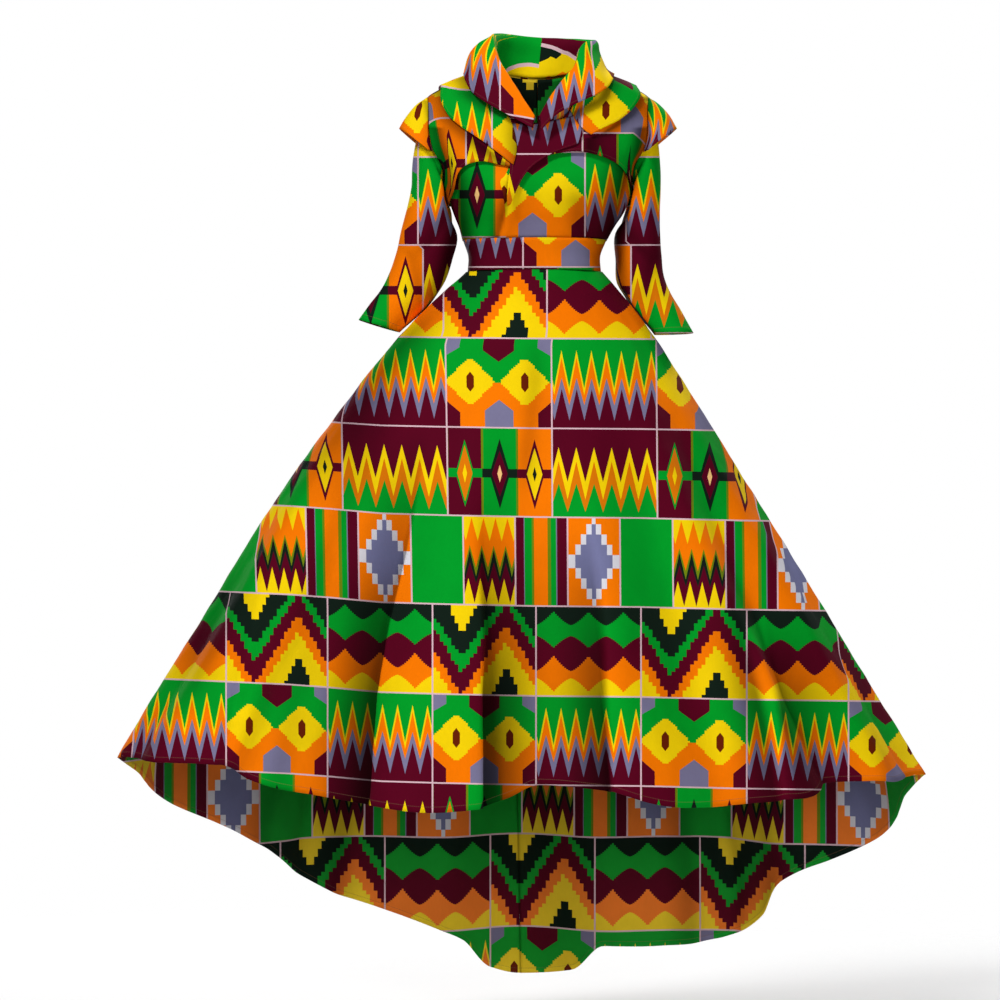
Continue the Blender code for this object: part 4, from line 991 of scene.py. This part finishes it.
def bolero_front(side, hem, spread_table, split):
    """One front of the overlay: rows from its round hem to its neckline, shoulder and armhole,
    with a line laid between them. The columns run from the centre to the side."""
    turned = mirror if side < 0 else tuple
    lines = (path(split[-1:] + aimed(turned(NECK_FRONT[:-1] if side < 0 else NECK_FRONT))[::-1]),
             path(aimed(turned(SHOULDER))[::-1]), path(aimed(turned(BOLERO_ARMHOLE))[::-1]))
    outer = [lines[0](0)]
    for line, steps in zip(lines, (RINGS_NECK, RINGS_SHOULDER, RINGS_ARM)):
        outer += [line(t) for t in shares(steps)[1:]]
    count = len(outer) - 1
    spread, hem_line = through(spread_table, 1), path(aimed(turned(hem)))
    inner = [hem_line(spread(k)) for k in range(count + 1)]
    laid = [(0, *split[1])]
    laid += [(row[0], *d) for row, d in zip(BOLERO_MIDDLE, aimed(turned([row[1:] for row in BOLERO_MIDDLE])))]
    laid += [(k, *[(a + b) / 2 for a, b in zip(inner[k], outer[k])]) for k in (count - 2, count)]
    middle = [(through(laid, 1)(k), through(laid, 2)(k)) for k in range(count + 1)]
    levels = []
    for first, second in ((inner, middle), (middle, outer)):
        for t in shares(BOLERO_STEPS)[1 if levels else 0:]:
            levels.append([tuple(p + (q - p) * t for p, q in zip(a, b)) for a, b in zip(first, second)])
    rows = [[p + outward(p) * BOLERO_LIFT for p in [reach(*place) for place in places]] for places in levels]
    inset = [BOLERO_NECK_INSET] * (RINGS_NECK + 1)
    inset += [EDGE * SHOULDER_PULL] * RINGS_SHOULDER + [EDGE] * RINGS_ARM
    panel = [row[::side] for row in pull(rows, EDGE, EDGE, 0, inset)]
    return panel, rows[-1][-1:-RINGS_ARM - 2:-1]


def bolero():
    """The two fronts and the back of the overlay. Gives its armhole edges for the caps."""
    heights = (BOLERO_RIGHT_HEM[0][1], *BOLERO_SPLIT)
    split = aimed([(BOLERO_FRONT, z) for z in heights])
    left, edge_left = bolero_front(-1, mirror(BOLERO_LEFT_HEM)[::-1], BOLERO_HEM_LEFT_SPREAD, split)
    right, edge_right = bolero_front(1, BOLERO_RIGHT_HEM, BOLERO_HEM_RIGHT_SPREAD, split)
    corner_columns = (RINGS_NECK, RINGS_NECK + RINGS_SHOULDER)
    cloth("bolero_left", left, breaks=corner_columns)
    cloth("bolero_right", right, breaks=corner_columns)

    low = [on_torso(BOLERO_SIDE, BOLERO_SIDE_RIGHT, True)]
    low += ring_row((BOLERO_SIDE_LEFT + BOLERO_SIDE_RIGHT) / 2, 2 * HALF_COLUMNS, 90, 270)[1:-1]
    low += [on_torso(-BOLERO_SIDE, BOLERO_SIDE_LEFT, True)]
    edges = [rising(((BOLERO_SIDE, z),) + BOLERO_ARMHOLE, side, True)
             for z, side in ((BOLERO_SIDE_RIGHT, tuple), (BOLERO_SIDE_LEFT, mirror))]
    back = patch(path(directions(low)), path(across_back(NECK_BACK)), *edges,
                 2 * HALF_COLUMNS, RINGS_ARM + RINGS_SHOULDER, BOLERO_LIFT)
    cloth("bolero_back", pull(back, EDGE, EDGE, 0, NECK_INSET, RINGS_ARM))
    return (edge_left, [row[-1] for row in back]), (edge_right, [row[0] for row in back])


def cap(name, side, edges):
    """A stiff cap: its seam runs over the top half of the armhole, its point stands out."""
    first, second = edges[::side]
    seam = first[CAP_LOWEST:RINGS_ARM + 1] + second[RINGS_ARM - 1:CAP_LOWEST - 1:-1]
    rows = []
    for t in shares(CAP_STEPS, 1, 0):
        row = []
        for p, turn in zip(seam, shares(len(seam) - 1, 0, math.pi)):
            high = math.sin(turn)
            deep = -side * math.cos(turn)
            tip = Vector((side * (CAP_OUT + CAP_OUT_MORE * high), deep * CAP_DEEP * (1 - CAP_NARROW * high),
                          CAP_HEIGHT + CAP_HIGHER * high))
            q = (p + Vector((side * CAP_START, 0, 0))).lerp(tip, t)
            row.append(q + Vector((side * CAP_LEAN, 0, 1)).normalized() * (CAP_BOW * 4 * t * (1 - t) * high))
        rows.append(row)
    cloth(name, rows)


def lapel():
    """The right front lapel, wrapped over the centre down to a narrow point."""
    inner, outer = path(aimed(LAPEL_INNER)), path(aimed(LAPEL_OUTER))
    low = path([inner(0), outer(0)])
    high = path([inner(1), *aimed(LAPEL_TOP), outer(1)])
    cloth("lapel_right", patch(low, high, inner, outer, *LAPEL_GRID, LAPEL_LIFT))


def lower_lift(p):
    """The lower collar lies on the bolero, and in front over the right lapel."""
    if p.y > 0:
        return COLLAR_LIFT
    left = p.x < OVERLAP_MIDDLE
    over = soft_step((p.x + OVERLAP_END) / OVERLAP_LEFT if left else (OVERLAP_END - p.x) / OVERLAP_RIGHT)
    return COLLAR_LIFT + (OVERLAP_LIFT - COLLAR_LIFT) * over


def rest(p):
    """A point of the upper collar, moved out until it lies clear on the lower one."""
    q = reach(*aim(p))
    normal = outward(q)
    least = lower_lift(q) + UPPER_GAP * (UPPER_BACK if q.y > 0 else 1.0)
    height = (p - q).dot(normal)
    return p if height >= least else p + normal * (least - height)


def collar_lower():
    """The flat collar on the shoulders, with its long left lapel."""
    edge = path(aimed(COLLAR_EDGE_RIGHT) + across_back(COLLAR_EDGE_BACK)
                + once_round(aimed(COLLAR_EDGE_LEFT)))
    end_right, end_left = aimed(COLLAR_END_RIGHT), once_round(aimed(COLLAR_END_LEFT))
    neck = path(end_right[-1:] + aimed(NECK_FRONT)[2::-1] + across_back(NECK_BACK)[1:]
                + once_round(aimed(mirror(NECK_FRONT))[1:3]) + end_left[-1:])
    rows = patch(edge, neck, path(end_right), path(end_left), *COLLAR_GRID, lower_lift)
    cloth("collar_lower", pull(rows, high=NECK_INSET))


def collar_upper():
    """The collar that stands behind the neck, rolls over its rim and falls to a V in front."""
    columns = [through(COLLAR_UPPER, k) for k in range(1, 8)]
    neck = path(aimed(NECK_FRONT)[::-1] + across_back(NECK_BACK)[1:]
                + once_round(aimed(mirror(NECK_FRONT))[1:]))
    profiles = []
    feet = shares(COLLAR_COLUMNS, FOOT_FROM, FOOT_TO)
    for share, place in zip(shares(COLLAR_COLUMNS), feet):
        values = [column(share) for column in columns]
        rim, edge, swell = Vector(values[0:3]), Vector(values[3:6]), values[6]
        away = edge - rim
        away.z = 0
        away.normalize()
        fall_top, stand_top = [rim + away * half - UP * RIM_DROP for half in (RIM_HALF, -RIM_HALF)]
        fall = edge - fall_top
        side = away.cross(fall).cross(fall).normalized()
        if side.dot(away + UP) < 0:
            side = -side
        bow = swell + FALL_BOW * (edge - rim).length
        profile = []
        for t in shares(COLLAR_FALL_STEPS):
            profile.append(rest(edge.lerp(fall_top, t) + side * bow * 4 * t * (1 - t)))
        foot = reach(*neck(place))
        foot += outward(foot) * FOOT_LIFT
        profiles.append(profile + [rim] + [stand_top.lerp(foot, t) for t in shares(COLLAR_STAND_STEPS)])
    cloth("collar_upper", list(zip(*profiles)))


def skirt_point(angle, z, fluted=1.0):
    """A point of the skirt, with its flutes or with a share of them."""
    hollow = flute_hollow(angle) * flute_depth(z) * fluted
    turn = math.radians(angle)
    deep = skirt_back(z) if math.cos(turn) < 0 else skirt_front(z)
    return Vector((skirt_middle(z) + (skirt_half(z) - hollow) * math.sin(turn),
                   -(deep - hollow) * math.cos(turn), z))


def skirt():
    """The short front and the two long backs, in fine grids."""
    for name, start, end, columns, rings in SKIRT_PANELS:
        rows, plain = [], []
        for t in shares(rings, 1, 0):
            places = []
            for angle in shares(columns, start, end):
                places.append((angle, WAIST_SEAM - (WAIST_SEAM - hem_height(angle)) * t ** SKIRT_RINGS_POWER))
            rows.append([skirt_point(*place) for place in places])
            plain.append([skirt_point(*place, 0.0) for place in places])
        rows = pull(rows, EDGE, EDGE, 0, EDGE)
        build(name, points_of(rows), uneven=SKIRT_UNEVEN, plain=points_of(plain))


def add(tree, kind, inputs, **settings):
    """Adds a node with these settings, and with values or links for its inputs."""
    node = tree.nodes.new("ShaderNode" + kind)
    for name, setting in settings.items():
        setattr(node, name, setting)
    for place, value in inputs.items():
        value = value.socket if isinstance(value, Value) else value
        if isinstance(value, bpy.types.NodeSocket):
            tree.links.new(value, node.inputs[place])
        else:
            node.inputs[place].default_value = value
    return node


def sign(kind, swapped=False):
    """A method that puts one sign of plain arithmetic into a node."""

    def method(self, other=0.0):
        return self.made(kind, *((other, self) if swapped else (self, other)))

    return method


class Value:
    """A number in a material's nodes, used in plain arithmetic."""

    __add__, __radd__ = sign("ADD"), sign("ADD", True)
    __sub__, __rsub__ = sign("SUBTRACT"), sign("SUBTRACT", True)
    __mul__, __rmul__ = sign("MULTIPLY"), sign("MULTIPLY", True)
    __truediv__ = sign("DIVIDE")
    __lt__, __gt__ = sign("LESS_THAN"), sign("GREATER_THAN")
    __and__, __or__ = sign("MINIMUM"), sign("MAXIMUM")
    __abs__, floor, part = sign("ABSOLUTE"), sign("FLOOR"), sign("FRACT")

    def __init__(self, tree, socket):
        self.tree = tree
        self.socket = socket

    def made(self, kind, *values):
        return Value(self.tree, add(self.tree, "Math", dict(enumerate(values)), operation=kind).outputs[0])

    def stepped(self, size):
        return self.made("SNAP", self, size) + size / 2

    def teeth(self, count, first=0.0):
        """0 at the peaks of a zigzag and 1 in its valleys."""
        return self.made("PINGPONG", (self - first) * count, 0.5) * 2

    def over(self, mask, ink):
        """This ink, and another one where the mask is 1."""
        node = add(self.tree, "Mix", {0: mask, 2: self, 3: ink}, data_type="FLOAT")
        return Value(self.tree, node.outputs[0])

    def layers(self, t, edges):
        """This ink at the top, then each ink from its edge down."""
        ink = self
        for edge, other in edges:
            ink = ink.over(t > edge, other)
        return ink


def zigzag(plain, s, t):
    tri = s.teeth(7, -0.047)
    top = 0.13 + 0.42 * tri
    return (plain + GREEN).layers(t, ((top, YELLOW), (top + 0.08, ORANGE), (0.44 + 0.30 * tri, GREY),
                                      (0.56 + 0.35 * tri, MAROON)))


def flame(plain, s, t):
    tri = s.teeth(5.93, 0.062)
    return (plain + MAROON).layers(t, ((0.21 + 0.39 * tri, YELLOW), (0.37 + 0.43 * tri, RUST),
                                       (0.62 + 0.32 * tri, GREEN)))


def eyes(plain, s, t):
    ink = (plain + GREEN).over(t > 0.5, ORANGE)
    a, b = s.stepped(0.02), t.stepped(0.02)
    low = abs(b - 0.49)
    aside = abs(abs(a - 0.4875) - 0.2585)
    ink = ink.over((aside / 0.236 + low / 0.285 < 1) & (low < 0.250), YELLOW)
    beside = abs(abs(s - 0.4875) - 0.2585)
    ink = ink.over((beside < 0.035) & (abs(t - 0.49) < 0.112 - 1.5 * beside), BROWN)
    middle = abs(s - 0.5)
    edge = 0.5 - middle
    ink = ink.over((middle < 0.147) & (t < 0.265 - 0.85 * middle), MAROON)
    ink = ink.over((edge < 0.132) & (t < 0.200 - 0.70 * edge), GREY)
    ink = ink.over((middle < 0.135) & (t > 0.690 + 0.90 * middle), GREY)
    return ink.over((edge < 0.130) & (t > 0.705 + 1.00 * edge), MAROON)


def diamonds(plain, s, t):
    third = (s * 3).floor()
    second, last = third > 0.5, third > 1.5

    def pick(a, b, c):
        return (plain + a).over(second, b).over(last, c)

    def lozenge(wide, tall):
        return aside / pick(*wide) + low / pick(*tall) < 1

    aside = abs((s * 3).part() - 0.5) / 3
    low = abs(t - 0.52)
    ink = pick(MAROON, GREEN, ORANGE)
    ink = ink.over(aside > 0.157, OLIVE).over(abs(t - 0.515) < 0.050, pick(GREEN, DARK, MAROON))
    ink = ink.over(lozenge((0.088, 0.098, 0.093), (0.38, 0.395, 0.395)), pick(GREEN, DARK, MAROON))
    ink = ink.over(lozenge((0.073, 0.076, 0.074), (0.32, 0.26, 0.295)), pick(RUST, MAROON, YELLOW))
    return ink.over(lozenge((0.022, 0.023, 0.020), (0.11, 0.10, 0.085)), pick(YELLOW, PEACH, DARK))


def small_flame(plain, s, t):
    top, tri, low = s.teeth(4.35, 0.165), s.teeth(4.35, 0.125), s.teeth(4.35, 0.09)
    return (plain + YELLOW).layers(t, ((0.02 + 0.26 * top, ORANGE), (0.33 + 0.25 * tri, OLIVE),
                                       (0.38 + 0.30 * tri, DARK), (0.52 + 0.24 * tri, MAROON),
                                       (0.70 + 0.28 * low, YELLOW)))


def stripes(plain, s, t):
    return (plain + MAROON).layers(s, ((0.165, GREY), (0.18, GREEN), (0.32, OLIVE), (0.36, ORANGE),
                                       (0.62, OLIVE), (0.68, GREEN), (0.78, GREY), (0.80, MAROON)))


def grey_diamond(plain, s, t):
    step = ((abs(t - 0.495) + 0.040) / 0.115).floor()
    aside = abs(s - 0.5)
    half = 0.355 - 0.105 * step
    ink = (plain + ORANGE).over((aside < half + 0.10) | (step < 0.5), CREAM)
    return ink.over(aside < half, SLATE)


def chevron(plain, s, t):
    a, b = s.stepped(1 / 28), t.stepped(1 / 24)
    lift = (1 - abs(a - 0.28) / 0.43).over(a > 0.71, (a - 0.71) / 0.43)
    ink = (plain + DARK).layers(b, ((0.71 * lift - 0.13, GREEN), (0.78 * lift - 0.02, MAROON),
                                    (0.21 + 0.80 * lift, ORANGE), (0.41 + 0.74 * lift, YELLOW)))
    ink = ink.over(b < 0.33 - 2.41 * abs(a - 0.289), YELLOW)
    return ink.over(b > 0.65 + 2.59 * abs(a - 0.711), DARK)


def waves(plain, s, t):
    tri = s.stepped(1 / 56).teeth(3, 1 / 6)
    bump = tri.made("POWER", 1 - tri, 1.45)
    return (plain + DARK).layers(t, ((0.21 - 0.15 * bump, GREEN), (0.33 + 0.13 * bump, MAROON),
                                     (0.72 - 0.17 * bump, ORANGE), (0.80 + 0.15 * bump, YELLOW)))


def printed(across, down):
    """The print's ink by its place on the cloth: blocks across and rows down."""
    row = down.floor()
    t = down - row
    kind = row.made("FLOORED_MODULO", row, 4)
    on_d = abs(kind - 2) < 0.5
    shifted = ((row > 2.5) * LOW_SHIFT + (row < -0.5) * TOP_SHIFT).over(on_d, FOURTH_SHIFT)
    across = across + shifted * (across < OFF_SKIRT / 2) / BLOCK
    block = across.floor()
    s = across - block
    odd = row.made("FLOORED_MODULO", block, 2) > 0.5
    plain = across * 0
    half = (across * 2).floor()
    h = across * 2 - half
    quarter = row.made("FLOORED_MODULO", half, 4)
    row_b = eyes(plain, s, t).over(odd, zigzag(plain, s, t))
    row_c = diamonds(plain, s, t).over(odd, flame(plain, s, t))
    row_e = chevron(plain, s, t).over(odd, waves(plain, s, t))
    row_d = small_flame(plain, h, t).over(quarter > 0.5, stripes(plain, h, t))
    row_d = row_d.over(quarter > 1.5, grey_diamond(plain, h, t)).over(quarter > 2.5, GREEN)
    ink = row_b.over(kind > 0.5, row_c).over(kind > 1.5, row_d).over(kind > 2.5, row_e)
    beside = (0.5 - abs(s - 0.5)).over(on_d, (0.5 - abs(h - 0.5)) / 2)
    below = 0.5 - abs(t - 0.5)
    return ink.over((beside < LINE_BESIDE) | (below < LINE_BELOW), LINE)


def cloth_material(name, wrong_side):
    """Printed cotton with a plain weave, a stitched hem and slight unevenness, with shade painted into its
    colour along folds and creases and on the wrong side of the skirt.
    """
    material = bpy.data.materials.new(name)
    material.use_nodes = True
    tree = material.node_tree
    shader = tree.nodes["Principled BSDF"]

    def map_of(layer):
        parts = add(tree, "SeparateXYZ", {0: add(tree, "UVMap", {}, uv_map=layer).outputs[0]})
        return Value(tree, parts.outputs[0]), Value(tree, parts.outputs[1])

    across, down = map_of("print")
    down = down * -1
    ramp = add(tree, "ValToRGB", {0: (printed(across, down) + 0.5) / len(INKS)})
    ramp.color_ramp.interpolation = "CONSTANT"
    stops = ramp.color_ramp.elements
    for k, rgb in enumerate(INKS):
        stop = stops[k] if k < 2 else stops.new(k / len(INKS))
        stop.position = k / len(INKS)
        stop.color = (*[linear(c) for c in rgb], 1)

    place = add(tree, "TexCoord", {}).outputs["Object"]

    def cloud(scale, detail, stretch=(1, 1, 1)):
        spread = add(tree, "Mapping", {0: place, "Scale": stretch}).outputs[0]
        noises = add(tree, "TexNoise", {"Vector": spread, "Scale": scale, "Detail": detail})
        return Value(tree, noises.outputs[0])

    mottle, slub = cloud(*MOTTLE), cloud(*SLUB)
    painted_shade, seam = map_of("painted_shade")
    seam = 1 - (seam & 1)
    # random mottle and slub, the shade painted along folds and creases, and darker seam edges
    value = (SHADE + SHADE_MOTTLE * mottle + SHADE_SLUB * slub) * painted_shade * (1 - SEAM_SHADE * seam)
    if wrong_side:
        # painted shade: the wrong side of the skirt backs darker higher up, where the front panel hangs
        # before it
        low = (((down - INSIDE_FROM) / INSIDE_WIDE) & 1) | 0
        value = value * (INSIDE_HIGH + INSIDE_MORE * low).over(across > OFF_SKIRT / 2, INSIDE_BODICE)
    shade = add(tree, "HueSaturation", {"Color": ramp.outputs[0], "Value": value,
                                        "Saturation": INSIDE_SATURATION if wrong_side else 1.0})

    along, away = map_of("hem")
    stitch = (abs(away - STITCH_LINE) < STITCH_WIDE) & (abs(along.part() - 0.5) < STITCH_LONG)
    thread = add(tree, "Mix", {0: stitch * STITCH_SHADE, 6: shade.outputs[0], 7: THREAD}, data_type="RGBA")

    warp = abs((across * WARP).part() - 0.5) * 2
    weft = abs((down * WEFT).part() - 0.5) * 2
    fold = 1 - (abs(away - STITCH_LINE) / FOLD_WIDE & 1)
    turn = ((away - TURN_FROM) / TURN_WIDE | 0) & 1
    height = (warp + weft) * WEAVE_HIGH + slub * SLUB_HIGH
    height = height - fold * FOLD_DEEP - turn * TURN_DEEP - seam * SEAM_DEEP
    bump = add(tree, "Bump", {"Height": height, **BUMP})
    rough = ROUGH + ROUGH_MOTTLE * mottle + ROUGH_SLUB * slub
    for socket, source in (("Base Color", thread.outputs[2]), ("Normal", bump.outputs[0]),
                           ("Roughness", rough.socket)):
        tree.links.new(source, shader.inputs[socket])
    shader.inputs["Specular IOR Level"].default_value = SPECULAR
    return material


def linear(c):
    """A screen colour value as light."""
    c = c / 255
    return c / 12.92 if c <= 0.04045 else ((c + 0.055) / 1.055) ** 2.4


outside = cloth_material("printed_cotton", False)
inside = cloth_material("printed_cotton_wrong_side", True)

left_hole, right_hole = bodice()
waistband()
skirt()
sleeve("sleeve_left", -1, SLEEVE_LEFT, left_hole)
sleeve("sleeve_right", 1, SLEEVE_RIGHT, right_hole)
left_edges, right_edges = bolero()
cap("cap_sleeve_left", -1, left_edges)
cap("cap_sleeve_right", 1, right_edges)
lapel()
collar_lower()
collar_upper()


def studio():
    """A round pale floor that thins out into a white studio, soft lamps and the camera."""
    rim = shares(FLOOR_SIDES, 0, 2 * math.pi)[:-1]
    verts = [(0, 0, FLOOR)] + [(FLOOR_REACH * math.cos(t), FLOOR_REACH * math.sin(t), FLOOR) for t in rim]
    mesh = bpy.data.meshes.new("floor")
    mesh.from_pydata(verts, [], [(0, i + 1, (i + 1) % FLOOR_SIDES + 1) for i in range(FLOOR_SIDES)])
    paper = bpy.data.materials.new("paper")
    paper.use_nodes = True
    tree = paper.node_tree
    shader = tree.nodes["Principled BSDF"]
    shader.inputs["Base Color"].default_value = PAPER
    shader.inputs["Roughness"].default_value = PAPER_ROUGH
    far = add(tree, "VectorMath", {0: add(tree, "TexCoord", {}).outputs["Object"]}, operation="LENGTH")
    fade = add(tree, "MapRange", {"Value": far.outputs["Value"], "From Min": FADE_FROM * FLOOR_REACH,
                                  "From Max": FADE_TO * FLOOR_REACH, "To Min": 1, "To Max": 0},
               interpolation_type="SMOOTHSTEP")
    tree.links.new(fade.outputs["Result"], shader.inputs["Alpha"])
    mesh.materials.append(paper)
    placed("floor", mesh)

    world = bpy.data.worlds.new("studio")
    world.use_nodes = True
    tree = world.node_tree
    sky = tree.nodes["Background"]
    sky.inputs[0].default_value = (1, 1, 1, 1)
    ray = add(tree, "LightPath", {}).outputs["Is Camera Ray"]
    bright = add(tree, "MapRange", {"Value": ray, "To Min": WORLD_LIGHT, "To Max": 1})
    tree.links.new(bright.outputs["Result"], sky.inputs[1])
    bpy.context.scene.world = world

    for name, place, target, size, power in LAMPS:
        lamp = bpy.data.lights.new(name, "AREA")
        lamp.shape = "RECTANGLE"
        lamp.size, lamp.size_y = size
        lamp.energy = power
        holder = placed(name, lamp)
        holder.location = place
        holder.rotation_euler = (Vector(target) - Vector(place)).to_track_quat("-Z", "Y").to_euler()

    lens = bpy.data.cameras.new("camera")
    lens.sensor_width = SENSOR
    lens.lens = SENSOR * DISTANCE / (PICTURE * POINT)
    lens.clip_end = CLIP
    camera = placed("camera", lens)
    camera.location = (VIEW_X, -DISTANCE, VIEW_Z)
    camera.rotation_euler = (math.pi / 2, 0, 0)
    bpy.context.scene.camera = camera
    bpy.context.scene.view_settings.view_transform = "Standard"


studio()
